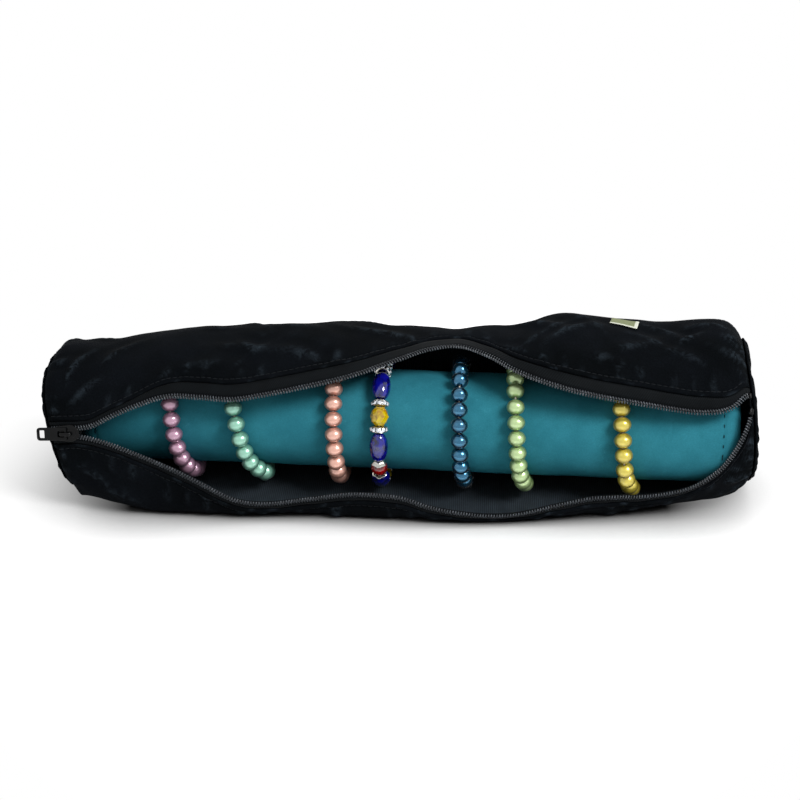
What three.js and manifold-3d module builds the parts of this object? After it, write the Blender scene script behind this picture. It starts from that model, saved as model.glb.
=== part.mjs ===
// Jewelry roll: a zipped velvet bag, half open, with a padded roller inside it.
// Seven stretch bracelets are threaded on the roller.
// Millimetres, +Z up, +X along the bag, -Y towards the mouth that the zip opens.
// The origin lies under the middle of the roll, on the surface that it rests on.
import * as THREE from "three";
import { mergeVertices } from "three/addons/utils/BufferGeometryUtils.js";
import Module from "manifold-3d";

const wasm = await Module();
wasm.setup();

// Gap between pieces that touch on the real roll
const FIT_GAP = 0.3;

// The roller and what it is made of
const ROLLER_LENGTH = 298;
const ROLLER_RADIUS = 23.4;
const ROLLER_SHOULDER = 5;
const COVER_WALL = 1.2;
const PADDING_WALL = 6;
const CORE_WALL = 2;
const PLUG_LENGTH = 8;
const ROLLER_SHIFT = 3.8;
const ROLLER_FORWARD = 3.8;
const ROLLER_YAW_DEGREES = -2.3;
const ROLLER_PITCH_DEGREES = 0.42;

// Beads
const PEARL_DIAMETER = 7.4;
const METALLIC_PEARL_DIAMETER = 7.2;
const GLASS_BEAD_DIAMETER = 8.6;

// The bag's cloth and the room it leaves round the threaded roller
const END_ROOM = 11.5;
const END_BULGE = 6.2;
const END_ROUNDING = 15;
const PANEL_WALL = 1.2;
const LINING_WALL = 0.4;
const HEADROOM = 8.1;
const FRONT_ROOM = 9.7;
const BACK_ROOM = 6.7;
const FLOOR_SAG = 1.5;

// The zip
const COIL_WIDTH = 2.6;
const COIL_THICKNESS = 1.4;
const TAPE_WALL = 0.7;
const TAPE_SHOWN = 5.4;
const STOP_LENGTH = 1;
const SLIDER_LENGTH = 12.3;
const SLIDER_WIDTH = 8;
const SLIDER_TAIL_WIDTH = 6;
const SLIDER_PLATE = 0.8;
const SLIDER_FROM_SEAM = 11;
const NECK_WIDTH = 0.7;
const NECK_LENGTH = 1.2;
const SLIDER_PLAY = 0.5;
const POCKET_DEPTH = 1;
const POCKET_REACH = 9;
const POCKET_SHIFT = 3;
const CROWN_LENGTH = 6;
const CROWN_WIDTH = 1.6;
const CROWN_BAR = 0.9;
const TAB_LENGTH = 13.4;
const TAB_WIDTH = 6;
const TAB_THICKNESS = 1.1;
const TAB_RIM = 1.2;
const TAB_CORNER = 1.6;
const TAB_HOLE_LENGTH = 2.4;

// The blank label sewn on top
const LABEL_LENGTH = 13;
const LABEL_HEIGHT = 8;
const LABEL_WALL = 0.5;

// Sizes that follow from the ones above
const FLOOR = PANEL_WALL + FIT_GAP + LINING_WALL;
const BEAD_REACH = ROLLER_RADIUS + FIT_GAP + GLASS_BEAD_DIAMETER;
const BAG_HEIGHT = 2 * FLOOR + 2 * BEAD_REACH + HEADROOM;
const FRONT_DEPTH = BEAD_REACH + FRONT_ROOM;
const BACK_DEPTH = BEAD_REACH + BACK_ROOM;
const SEAM = ROLLER_LENGTH / 2 + END_ROOM;
const HALF_LENGTH = SEAM + FIT_GAP + END_BULGE;
const ROLLER_HEIGHT = FLOOR + FIT_GAP + BEAD_REACH;
const COIL_DEPTH = COIL_THICKNESS / 2 - (COIL_THICKNESS - PANEL_WALL);
const LINING_DEPTH = PANEL_WALL + FIT_GAP;

// How finely curved pieces are cut into flat faces
const ROUND_SIDES = 28;
const CLOTH_STEPS = 18;
const END_SIDES = 24;
const BEAD_SIDES = 6;
const RINGS_PER_BEAD = 3;

// The bag's shape, read at stations along it from the left end to the right end.
// Each row is a share of the size that it is multiplied by where it is used.
const STATION_SHARES = [-1, -0.9, -0.78, -0.63, -0.45, -0.24, 0, 0.16, 0.3, 0.45, 0.6, 0.75, 0.87, 1];
const HEIGHT_SHARES = [0.84, 0.875, 0.905, 0.945, 0.985, 1.013, 1, 0.993, 1.02, 1.085, 1.065, 1.045, 1.06, 1];
const FRONT_SHARES = [0.92, 0.92, 0.93, 0.96, 1.01, 0.985, 1.02, 1.06, 1.05, 0.98, 0.93, 0.9, 0.87, 0.84];
const BACK_SHARES = [0.95, 0.97, 0.99, 1, 1, 1, 1, 1, 1, 1, 1, 0.99, 0.97, 0.95];
const MIDDLE_SHARE = 0.47;

// Roundness of the upper and lower half of the section: 2 is an ellipse, more is squarer.
const UPPER_ROUNDNESS = [2.1, 2.1, 2.15, 2.2, 2.2, 2.2, 2.2, 2.1, 2.2, 2.3, 2.3, 2.25, 2.2, 2.1];
const LOWER_ROUNDNESS = [1.9, 2.9, 4.6, 6, 7, 6.3, 7, 7.5, 7, 5.7, 4.3, 2.9, 2.1, 1.9];

// Sideways lean of the section for each millimetre of height: both ends lean to the left.
const LEAN_SLOPES = [-0.17, -0.12, -0.04, 0, 0, 0, 0, 0, 0, 0, 0, -0.02, -0.05, -0.08];

// Where the two coils of the open zip lie: their angle round the section, from straight ahead (0)
// over the top (90), read at stations of their own.
const LIP_STATION_SHARES = [
  -1, -0.912, -0.882, -0.856, -0.83, -0.78, -0.72, -0.63, -0.54, -0.45, -0.36, -0.24, -0.12, 0, 0.084, 0.16,
  0.24, 0.3, 0.37, 0.45, 0.53, 0.6, 0.66, 0.75, 0.81, 0.87, 0.91, 0.946, 0.964, 1];
const UPPER_LIP_DEGREES = [
  19, 18.9, 18.9, 19.2, 20.2, 26, 32, 38, 36.5, 34.5, 37.2, 42.8, 50.6, 63.6, 74.5, 78,
  67, 55.5, 46.2, 39.4, 36, 34.2, 32.6, 30, 28.2, 29, 33.5, 41.5, 43, 44];
const LOWER_LIP_DEGREES = [
  13, 13.2, 13.3, 12.3, 10.8, 6.4, -0.4, -10.9, -21.3, -30.5, -33.8, -31.7, -27.6, -27.5, -31.5, -33.8,
  -36.2, -37.2, -37, -35.8, -33.7, -33.7, -34.8, -33.8, -30.2, -17, 0.4, 21, 35, 36];

// How much of each zip tape shows between its coil and the velvet, as a share of the widest.
const TAPE_STATION_SHARES = [-1, -0.74, -0.66, -0.56, 0.8, 0.9, 0.96, 1];
const UPPER_TAPE_SHARES = [0.3, 0.3, 0.7, 1, 1, 0.7, 0.35, 0.3];
const LOWER_TAPE_SHARE = 0.3;

// Where along the bag its skin is cut into faces
const SKIN_SHARES = [
  -1, -0.985, -0.965, -0.94, -0.91, -0.88, -0.84, -0.78, -0.7, -0.62, -0.53, -0.44, -0.34, -0.22, -0.1, 0,
  0.08, 0.16, 0.24, 0.32, 0.42, 0.54, 0.66, 0.77, 0.84, 0.89, 0.93, 0.96, 0.98, 1];

// The bracelets, from left to right: place along the roller, bead, lean and colour.
const BRACELETS = [
  { name: "bracelet_lilac", share: -0.3564, bead: PEARL_DIAMETER, tiltDegrees: 9, colour: 0x9c8fbd },
  { name: "bracelet_mint", share: -0.2537, bead: PEARL_DIAMETER, tiltDegrees: 14, colour: 0x9fd8c2 },
  { name: "bracelet_peach", share: -0.1091, bead: PEARL_DIAMETER, tiltDegrees: 3, colour: 0xf2c6b4 },
  { name: "bracelet_glass", share: -0.0403, bead: GLASS_BEAD_DIAMETER, tiltDegrees: 0, colour: 0x1c2f8c },
  { name: "bracelet_blue", share: 0.0836, bead: METALLIC_PEARL_DIAMETER, tiltDegrees: 3, colour: 0x3f7fa6 },
  { name: "bracelet_green", share: 0.1718, bead: PEARL_DIAMETER, tiltDegrees: 5, colour: 0xcfe6b8 },
  { name: "bracelet_yellow", share: 0.3332, bead: PEARL_DIAMETER, tiltDegrees: 6, colour: 0xe9dc7a },
];

// Materials
const finish = (color, roughness, metalness = 0) =>
  new THREE.MeshStandardMaterial({ color, roughness, metalness });
const VELVET = finish(0x14181c, 0.95);
const SATIN = finish(0x23292e, 0.7);
const NYLON = finish(0x1d2023, 0.45);
const ENAMEL = finish(0x0b0c0e, 0.3, 0.4);
const TEAL_VELVET = finish(0x2f7683, 0.92);
const FOAM = finish(0xd9d4c8, 0.9);
const CARDBOARD = finish(0xa98c66, 0.9);
const WOVEN_LABEL = finish(0x5c6048, 0.85);

const radians = THREE.MathUtils.degToRad;

// Smooth curve through hand-chosen values at stations: cubic pieces whose slopes are the neighbours' mean.
function curveThrough(stations, values) {
  const last = stations.length - 1;
  const slopeAt = (i) => {
    const low = Math.max(i - 1, 0);
    const high = Math.min(i + 1, last);
    return (values[high] - values[low]) / (stations[high] - stations[low]);
  };
  return (x) => {
    const share = THREE.MathUtils.clamp(x / HALF_LENGTH, stations[0], stations[last]);
    let i = 0;
    while (i < last - 1 && share > stations[i + 1]) i += 1;
    const span = stations[i + 1] - stations[i];
    const t = (share - stations[i]) / span;
    const fromStart = (2 * t - 3) * t * t + 1;
    const slopeStart = ((t - 2) * t + 1) * t;
    const slopeEnd = (t - 1) * t * t;
    return fromStart * values[i] + (1 - fromStart) * values[i + 1]
      + span * (slopeStart * slopeAt(i) + slopeEnd * slopeAt(i + 1));
  };
}

const heightShare = curveThrough(STATION_SHARES, HEIGHT_SHARES);
const frontShare = curveThrough(STATION_SHARES, FRONT_SHARES);
const backShare = curveThrough(STATION_SHARES, BACK_SHARES);
const upperRoundness = curveThrough(STATION_SHARES, UPPER_ROUNDNESS);
const lowerRoundness = curveThrough(STATION_SHARES, LOWER_ROUNDNESS);
const leanSlope = curveThrough(STATION_SHARES, LEAN_SLOPES);
const upperLip = curveThrough(LIP_STATION_SHARES, UPPER_LIP_DEGREES.map(radians));
const lowerLip = curveThrough(LIP_STATION_SHARES, LOWER_LIP_DEGREES.map(radians));
const upperTapeShare = curveThrough(TAPE_STATION_SHARES, UPPER_TAPE_SHARES);
const betweenLips = (x) => (upperLip(x) + lowerLip(x)) / 2;

// Share of its full size that the section keeps near the bag's rounded ends.
// The front is drawn in less than the rest, because the zip's tape holds it out.
const ROUNDING_POWER = 2.4;
const FRONT_ROUNDING_SHARE = 0.4;
function endShare(x) {
  const past = Math.max(Math.abs(x) - (HALF_LENGTH - END_ROUNDING), 0) / END_ROUNDING;
  return Math.pow(Math.max(1 - Math.pow(past, ROUNDING_POWER), 0), 1 / ROUNDING_POWER);
}

// The slider presses the front of the bag in: a smooth hollow round the place where it stands.
const SLIDER_PLACE = -SEAM + SLIDER_FROM_SEAM;
const POCKET_DEGREES = 45;
function pocket(x, angle) {
  const along = Math.abs(x - SLIDER_PLACE + POCKET_SHIFT) / POCKET_REACH;
  const round = Math.acos(Math.cos(angle - upperLip(SLIDER_PLACE))) / radians(POCKET_DEGREES);
  if (along >= 1 || round >= 1) return 0;
  return POCKET_DEPTH * Math.cos(along * Math.PI / 2) ** 2 * Math.cos(round * Math.PI / 2) ** 2;
}

// Point of the bag's skin at x along the bag and at an angle round it, inset from the outer face.
// The section is two half super-ellipses, cut flat where it would pass below the floor.
function skinPoint(x, angle, inset) {
  const height = BAG_HEIGHT * heightShare(x);
  const middle = height * MIDDLE_SHARE;
  const c = Math.cos(angle);
  const s = Math.sin(angle);
  const depth = c > 0 ? FRONT_DEPTH * frontShare(x) : BACK_DEPTH * backShare(x);
  const rise = s > 0 ? height - middle : middle + FLOOR_SAG;
  const power = s > 0 ? upperRoundness(x) : lowerRoundness(x);
  const drawnIn = c > 0 ? Math.pow(endShare(x), FRONT_ROUNDING_SHARE) : endShare(x);
  const a = depth * drawnIn - inset - pocket(x, angle);
  const b = rise * endShare(x) - inset;
  const radius = Math.pow(Math.pow(Math.abs(c) / a, power) + Math.pow(Math.abs(s) / b, power), -1 / power);
  const z = Math.max(middle + radius * s, inset);
  return new THREE.Vector3(x + leanSlope(x) * (z - middle), -radius * c, z);
}

// Angle that lies a given distance round the section from another, upwards when positive.
const PROBE = radians(0.5);
function angleAlong(x, angle, distance) {
  const step = skinPoint(x, angle + PROBE, 0).distanceTo(skinPoint(x, angle, 0));
  return angle + distance * PROBE / step;
}

// Closed body from a row of loops with equally many points, joined in turn.
// The far half of each loop is cut along the other diagonal, so that both faces of a wall match.
// A wrapped row closes on its first loop. Otherwise each end loop is closed like a ladder,
// its first half of points against its second half.
function loft(loops, wrapped = false) {
  const size = loops[0].length;
  const points = loops.flat();
  const triangles = [];
  const rows = wrapped ? loops.length : loops.length - 1;
  for (let i = 0; i < rows; i += 1) {
    const next = (i + 1) % loops.length;
    for (let j = 0; j < size; j += 1) {
      const k = (j + 1) % size;
      const [a, b, c, d] = [i * size + j, i * size + k, next * size + k, next * size + j];
      if (j < size / 2) triangles.push(a, b, c, a, c, d);
      else triangles.push(a, b, d, b, c, d);
    }
  }
  if (!wrapped) {
    const top = (loops.length - 1) * size;
    for (let j = 0; j < size / 2 - 1; j += 1) {
      const far = size - 1 - j;
      triangles.push(j, far, far - 1, j, far - 1, j + 1);
      triangles.push(top + j, top + far - 1, top + far, top + j, top + j + 1, top + far - 1);
    }
  }
  return bodyFrom(points, triangles);
}

// Geometry of a closed body, with its faces turned outwards.
function bodyFrom(points, triangles) {
  let volume = 0;
  for (let i = 0; i < triangles.length; i += 3) {
    const [a, b, c] = [points[triangles[i]], points[triangles[i + 1]], points[triangles[i + 2]]];
    volume += a.dot(new THREE.Vector3().crossVectors(b, c));
  }
  if (volume < 0) triangles.reverse();
  const geometry = new THREE.BufferGeometry();
  geometry.setFromPoints(points);
  geometry.setIndex(triangles);
  geometry.computeVertexNormals();
  return geometry;
}

// Cloth wall that follows the skin from one angle to another, between two insets.
function clothWall(xs, fromAngle, toAngle, inset, wall, steps) {
  return loft(xs.map((x) => {
    const start = fromAngle(x);
    const end = toAngle(x);
    const outer = [];
    const inner = [];
    for (let j = 0; j <= steps; j += 1) {
      const angle = start + (end - start) * j / steps;
      outer.push(skinPoint(x, angle, inset));
      inner.unshift(skinPoint(x, angle, inset + wall));
    }
    return [...outer, ...inner];
  }));
}

// Strip as thick as a coil that follows a lip of the mouth, with a round-edged section across it.
const STRIP_SHARES = [
  [-1, 0.4], [-0.6, 1], [0.6, 1], [1, 0.4], [1, -0.4], [0.6, -1], [-0.6, -1], [-1, -0.4]];
function lipStrip(xs, lip, width) {
  return loft(xs.map((x) => STRIP_SHARES.map(([across, through]) => {
    const angle = angleAlong(x, lip(x), across * width / 2);
    return skinPoint(x, angle, COIL_DEPTH + through * COIL_THICKNESS / 2);
  })));
}

function placed(name, geometry, material) {
  const mesh = new THREE.Mesh(geometry, material);
  mesh.name = name;
  return mesh;
}

// Bag
function makeBag() {
  const bag = new THREE.Group();
  const COIL_EDGE = COIL_WIDTH / 2 + FIT_GAP;
  const upperTape = (x) => COIL_EDGE + TAPE_SHOWN * upperTapeShare(x);
  const lowerTape = COIL_EDGE + TAPE_SHOWN * LOWER_TAPE_SHARE;
  const upperEdge = (x) => angleAlong(x, upperLip(x), upperTape(x) + FIT_GAP);
  const lowerEdge = (x) => angleAlong(x, lowerLip(x), -lowerTape - FIT_GAP) + 2 * Math.PI;
  const panelPlaces = SKIN_SHARES.map((share) => share * SEAM);
  bag.add(placed("body_panel",
    clothWall(panelPlaces, upperEdge, lowerEdge, 0, PANEL_WALL, CLOTH_STEPS), VELVET));

  bag.add(placed("body_lining",
    clothWall(panelPlaces, upperEdge, lowerEdge, LINING_DEPTH, LINING_WALL, CLOTH_STEPS), SATIN));

  const tapeOuter = (x) => angleAlong(x, upperLip(x), upperTape(x));
  const tapeInner = (x) => angleAlong(x, upperLip(x), COIL_EDGE);
  const lowTapeOuter = (x) => angleAlong(x, lowerLip(x), -lowerTape);
  const lowTapeInner = (x) => angleAlong(x, lowerLip(x), -COIL_EDGE);
  const TAPE_STEPS = 2;
  const TAPE_DEPTH = PANEL_WALL - TAPE_WALL;
  bag.add(placed("upper_zip_tape",
    clothWall(panelPlaces, tapeInner, tapeOuter, TAPE_DEPTH, TAPE_WALL, TAPE_STEPS), SATIN));
  bag.add(placed("lower_zip_tape",
    clothWall(panelPlaces, lowTapeOuter, lowTapeInner, TAPE_DEPTH, TAPE_WALL, TAPE_STEPS), SATIN));

  const STOP_START = SEAM - STOP_LENGTH;
  const COIL_END = STOP_START - FIT_GAP;
  const coilPlaces = panelPlaces.map((x) => THREE.MathUtils.clamp(x, -COIL_END, COIL_END));
  bag.add(placed("upper_zip_coil", lipStrip(coilPlaces, upperLip, COIL_WIDTH), NYLON));
  bag.add(placed("lower_zip_coil", lipStrip(coilPlaces, lowerLip, COIL_WIDTH), NYLON));
  const stopPlaces = [STOP_START, SEAM];
  bag.add(placed("zip_top_stop_upper", lipStrip(stopPlaces, upperLip, COIL_WIDTH), ENAMEL));
  bag.add(placed("zip_top_stop_lower", lipStrip(stopPlaces, lowerLip, COIL_WIDTH), ENAMEL));
  bag.add(placed("zip_bottom_stop",
    lipStrip([-SEAM, -STOP_START], betweenLips, 2 * COIL_WIDTH), ENAMEL));

  for (const side of [-1, 1]) {
    const word = side < 0 ? "left" : "right";
    bag.add(placed(`${word}_end_panel`, endDisc(side, 0, PANEL_WALL, SEAM + FIT_GAP), VELVET));
    bag.add(placed(`${word}_end_lining`,
      endDisc(side, FLOOR + 3 * FIT_GAP, LINING_WALL, SEAM - LINING_WALL), SATIN));
  }

  bag.add(placed("blank_label", label(), WOVEN_LABEL));
  return bag;
}

// Domed disc that closes an end of the bag: its rim follows the section, shrunk by an inset,
// and its inner face starts at its seat.
const DOME_RING_SHARES = [1, 0.9, 0.7, 0.4];
function endDisc(side, inset, wall, seat) {
  const station = side * SEAM;
  const middle = BAG_HEIGHT * heightShare(station) * MIDDLE_SHARE;
  const dome = END_BULGE - PANEL_WALL;
  const ring = (share, thickness) => {
    const loop = [];
    for (let j = 0; j < END_SIDES; j += 1) {
      const angle = 2 * Math.PI * j / END_SIDES;
      const rim = skinPoint(station, angle, inset);
      const y = rim.y * share;
      const z = middle + (rim.z - middle) * share;
      const out = seat + dome * Math.sqrt(1 - share * share) + thickness;
      loop.push(new THREE.Vector3(side * out + leanSlope(station) * (z - middle), y, z));
    }
    return loop;
  };
  const loops = [
    ...DOME_RING_SHARES.map((share) => ring(share, wall)).reverse(),
    ...DOME_RING_SHARES.map((share) => ring(share, 0)),
  ];
  return loft(loops);
}

// Blank label on the upper back of the bag, outside the panel.
const LABEL_PLACE_SHARE = 0.615;
const LABEL_DEGREES = 93;
function label() {
  const x = LABEL_PLACE_SHARE * HALF_LENGTH;
  const places = [x - LABEL_LENGTH / 2, x, x + LABEL_LENGTH / 2];
  const from = (at) => angleAlong(at, radians(LABEL_DEGREES), -LABEL_HEIGHT / 2);
  const to = (at) => angleAlong(at, radians(LABEL_DEGREES), LABEL_HEIGHT / 2);
  const LABEL_STEPS = 4;
  return clothWall(places, from, to, -FIT_GAP - LABEL_WALL, LABEL_WALL, LABEL_STEPS);
}

// Joins and cuts solids
function solidOf(geometry) {
  const bare = geometry.clone();
  bare.deleteAttribute("normal");
  bare.deleteAttribute("uv");
  const welded = mergeVertices(bare);
  return new wasm.Manifold(new wasm.Mesh({
    numProp: 3,
    vertProperties: new Float32Array(welded.attributes.position.array),
    triVerts: new Uint32Array(welded.index.array),
  }));
}

function geometryOf(solid) {
  const mesh = solid.getMesh();
  const geometry = new THREE.BufferGeometry();
  geometry.setAttribute("position", new THREE.BufferAttribute(new Float32Array(mesh.vertProperties), 3));
  geometry.setIndex(new THREE.BufferAttribute(new Uint32Array(mesh.triVerts), 1));
  geometry.computeVertexNormals();
  return geometry;
}

// Block between two corners
function block(low, high) {
  const size = new THREE.Vector3().subVectors(high, low);
  const geometry = new THREE.BoxGeometry(size.x, size.y, size.z);
  const centre = new THREE.Vector3().addVectors(low, high).multiplyScalar(1 / 2);
  return geometry.translate(centre.x, centre.y, centre.z);
}

// Slider, in its own frame: X along the zip, Y across it, Z out of the bag, origin on the coils.
const CHANNEL = COIL_THICKNESS / 2 + SLIDER_PLAY;
const CROWN_RISE = TAB_THICKNESS + 2 * FIT_GAP;
const HINGE_HEIGHT = CHANNEL + SLIDER_PLATE + FIT_GAP + TAB_THICKNESS / 2;

function sliderPlate(low) {
  const half = SLIDER_LENGTH / 2;
  const wide = SLIDER_WIDTH / 2;
  const tail = SLIDER_TAIL_WIDTH / 2;
  const outline = new THREE.Shape();
  outline.moveTo(-half, -tail / 2);
  outline.quadraticCurveTo(-half, -tail, -half + tail / 2, -tail);
  outline.lineTo(half - wide, -wide);
  outline.quadraticCurveTo(half, -wide, half, 0);
  outline.quadraticCurveTo(half, wide, half - wide, wide);
  outline.lineTo(-half + tail / 2, tail);
  outline.quadraticCurveTo(-half, tail, -half, tail / 2);
  const CURVE_STEPS = 5;
  const geometry = new THREE.ExtrudeGeometry(outline, {
    depth: SLIDER_PLATE, bevelEnabled: false, curveSegments: CURVE_STEPS,
  });
  return solidOf(geometry.translate(0, 0, low));
}

function sliderSolid() {
  const half = SLIDER_LENGTH / 2;
  const overlap = SLIDER_PLATE / 2;
  const neck = block(
    new THREE.Vector3(half - NECK_LENGTH - overlap, -NECK_WIDTH / 2, -CHANNEL - overlap),
    new THREE.Vector3(half - overlap, NECK_WIDTH / 2, CHANNEL + overlap));
  const plates = sliderPlate(CHANNEL).add(sliderPlate(-CHANNEL - SLIDER_PLATE)).add(solidOf(neck));

  // Crown: two legs and a bar that holds the tab's cross-bar against the plate
  const roof = CHANNEL + SLIDER_PLATE + CROWN_RISE;
  const reach = CROWN_LENGTH / 2;
  const sides = CROWN_WIDTH / 2;
  const outer = block(
    new THREE.Vector3(-reach, -sides, CHANNEL + overlap),
    new THREE.Vector3(reach, sides, roof + CROWN_BAR));
  const inner = block(
    new THREE.Vector3(-reach + CROWN_BAR, -SLIDER_WIDTH, CHANNEL + SLIDER_PLATE),
    new THREE.Vector3(reach - CROWN_BAR, SLIDER_WIDTH, roof));
  return geometryOf(plates.add(solidOf(outer).subtract(solidOf(inner))));
}

// Tab, in a frame whose origin is the axis of its cross-bar: it lies along -X, away from the mouth.
function tabSolid() {
  const wide = TAB_WIDTH / 2;
  const barHalf = TAB_THICKNESS / 2;
  const outline = new THREE.Shape();
  outline.moveTo(barHalf, -wide);
  outline.lineTo(barHalf, wide);
  outline.lineTo(-TAB_LENGTH + TAB_CORNER, wide);
  outline.quadraticCurveTo(-TAB_LENGTH, wide, -TAB_LENGTH, wide - TAB_CORNER);
  outline.lineTo(-TAB_LENGTH, -wide + TAB_CORNER);
  outline.quadraticCurveTo(-TAB_LENGTH, -wide, -TAB_LENGTH + TAB_CORNER, -wide);
  const windowHalf = CROWN_WIDTH / 2 + 2 * FIT_GAP;
  const windowEnd = -CROWN_LENGTH / 2 - 2 * FIT_GAP;
  const crownWindow = new THREE.Path();
  crownWindow.moveTo(-barHalf, -windowHalf);
  crownWindow.lineTo(windowEnd, -windowHalf);
  crownWindow.lineTo(windowEnd, windowHalf);
  crownWindow.lineTo(-barHalf, windowHalf);
  outline.holes.push(crownWindow);
  const holeHalf = wide - TAB_RIM;
  const holeEnd = -TAB_LENGTH + TAB_RIM;
  const gripHole = new THREE.Path();
  gripHole.moveTo(holeEnd + TAB_HOLE_LENGTH, -holeHalf);
  gripHole.lineTo(holeEnd, -holeHalf);
  gripHole.lineTo(holeEnd, holeHalf);
  gripHole.lineTo(holeEnd + TAB_HOLE_LENGTH, holeHalf);
  outline.holes.push(gripHole);
  const CURVE_STEPS = 4;
  const geometry = new THREE.ExtrudeGeometry(outline, {
    depth: TAB_THICKNESS, bevelEnabled: false, curveSegments: CURVE_STEPS,
  });
  return geometry.translate(0, 0, -barHalf);
}

// The slider straddles both coils at the bag's left end, square to the skin there.
function makeSlider() {
  const x = SLIDER_PLACE;
  const reach = SLIDER_LENGTH / 2;
  const onCoils = (at) => skinPoint(at, betweenLips(at), COIL_DEPTH);
  const along = onCoils(x + reach).sub(onCoils(x - reach)).normalize();
  const up = skinPoint(x, betweenLips(x) + PROBE, 0).sub(skinPoint(x, betweenLips(x) - PROBE, 0));
  const out = new THREE.Vector3().crossVectors(along, up).normalize();
  const across = new THREE.Vector3().crossVectors(out, along);
  const slider = new THREE.Group();
  slider.quaternion.setFromRotationMatrix(new THREE.Matrix4().makeBasis(along, across, out));
  slider.position.copy(onCoils(x - reach).add(onCoils(x + reach)).multiplyScalar(1 / 2));
  slider.add(placed("slider_body", sliderSolid(), ENAMEL));
  const tab = placed("pull_tab", tabSolid(), ENAMEL);
  tab.position.z = HINGE_HEIGHT;
  slider.add(tab);
  return slider;
}

// Roller, turned about its own axis, which is X in its group
const turned = (profile) => {
  const points = profile.map(([radius, along]) => new THREE.Vector2(radius, along));
  return new THREE.LatheGeometry(points, ROUND_SIDES).rotateZ(-Math.PI / 2);
};

// Tube between two radii and two ends, as a profile that closes on itself
const tubeProfile = (inner, outer, half) =>
  [[inner, -half], [outer, -half], [outer, half], [inner, half], [inner, -half]];

const SHOULDER_STEPS = 3;
function coverProfile() {
  const half = ROLLER_LENGTH / 2;
  const inner = ROLLER_RADIUS - COVER_WALL;
  const innerHalf = half - ROLLER_SHOULDER;
  const shoulder = (sign, from, to) => {
    const points = [];
    for (let i = 0; i <= SHOULDER_STEPS; i += 1) {
      const turn = from + (to - from) * i / SHOULDER_STEPS;
      points.push([
        ROLLER_RADIUS - ROLLER_SHOULDER * (1 - Math.cos(turn)),
        sign * (half - ROLLER_SHOULDER * (1 - Math.sin(turn))),
      ]);
    }
    return points;
  };
  const quarter = Math.PI / 2;
  const rim = ROLLER_RADIUS - ROLLER_SHOULDER;
  return [
    ...shoulder(-1, quarter, 0), ...shoulder(1, 0, quarter),
    [rim, half - COVER_WALL], [inner - COVER_WALL, innerHalf + COVER_WALL], [inner, innerHalf],
    [inner, -innerHalf], [inner - COVER_WALL, -innerHalf - COVER_WALL], [rim, -half + COVER_WALL],
    [rim, -half],
  ];
}

function makeRoller() {
  const roller = new THREE.Group();
  roller.position.set(ROLLER_SHIFT, -ROLLER_FORWARD, ROLLER_HEIGHT);
  roller.rotation.set(0, radians(ROLLER_PITCH_DEGREES), radians(ROLLER_YAW_DEGREES));
  const half = ROLLER_LENGTH / 2;
  roller.add(placed("roller_cover", turned(coverProfile()), TEAL_VELVET));

  const padOuter = ROLLER_RADIUS - COVER_WALL - FIT_GAP;
  const padInner = padOuter - PADDING_WALL;
  const padHalf = half - ROLLER_SHOULDER;
  roller.add(placed("roller_padding", turned(tubeProfile(padInner, padOuter, padHalf)), FOAM));

  const coreOuter = padInner - FIT_GAP;
  const coreInner = coreOuter - CORE_WALL;
  roller.add(placed("roller_core", turned(tubeProfile(coreInner, coreOuter, padHalf)), CARDBOARD));

  const capRadius = ROLLER_RADIUS - ROLLER_SHOULDER - FIT_GAP;
  const plugRadius = coreInner - FIT_GAP;
  for (const side of [-1, 1]) {
    const word = side < 0 ? "left" : "right";
    const plug = [[0, padHalf - PLUG_LENGTH], [plugRadius, padHalf - PLUG_LENGTH],
      [plugRadius, padHalf], [0, padHalf]];
    roller.add(placed(`${word}_core_plug`, turned(plug), CARDBOARD));
    const cap = [[0, half - COVER_WALL], [capRadius, half - COVER_WALL], [capRadius, half], [0, half]];
    roller.add(placed(`${word}_roller_cap`, turned(cap), TEAL_VELVET));
    for (const name of [`${word}_core_plug`, `${word}_roller_cap`]) {
      roller.getObjectByName(name).rotation.y = side < 0 ? Math.PI : 0;
    }
  }

  for (const bracelet of BRACELETS) {
    const mesh = placed(bracelet.name, beadRing(bracelet), finish(bracelet.colour, 0.25));
    mesh.position.x = bracelet.share * ROLLER_LENGTH;
    mesh.rotation.y = -radians(bracelet.tiltDegrees);
    roller.add(mesh);
  }
  return roller;
}

// String of beads round the roller: each bead swells between narrow necks on the cord.
const NECK_SHARE = 0.4;
function beadRing({ bead, tiltDegrees }) {
  const radius = bead / 2;
  const centre = ROLLER_RADIUS / Math.cos(radians(tiltDegrees)) + FIT_GAP + radius;
  const beads = Math.floor(2 * Math.PI * centre / bead);
  const loops = [];
  for (let i = 0; i < beads * RINGS_PER_BEAD; i += 1) {
    const along = 2 * (i % RINGS_PER_BEAD) / RINGS_PER_BEAD - 1;
    const swell = Math.max(Math.sqrt(1 - along * along), NECK_SHARE) * radius;
    const turn = 2 * Math.PI * i / (beads * RINGS_PER_BEAD);
    const loop = [];
    for (let j = 0; j < BEAD_SIDES; j += 1) {
      const side = 2 * Math.PI * j / BEAD_SIDES;
      const out = centre + swell * Math.cos(side);
      loop.push(new THREE.Vector3(swell * Math.sin(side), out * Math.cos(turn), out * Math.sin(turn)));
    }
    loops.push(loop);
  }
  return loft(loops, true);
}

// The whole roll, moved so that its outer box stands centred over the origin
const roll = new THREE.Group();
roll.add(makeBag(), makeSlider(), makeRoller());
roll.updateMatrixWorld(true);
const outerBox = new THREE.Box3().setFromObject(roll, true);
const boxCentre = outerBox.getCenter(new THREE.Vector3());
roll.position.set(-boxCentre.x, -boxCentre.y, -outerBox.min.z);

export default roll;
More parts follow.
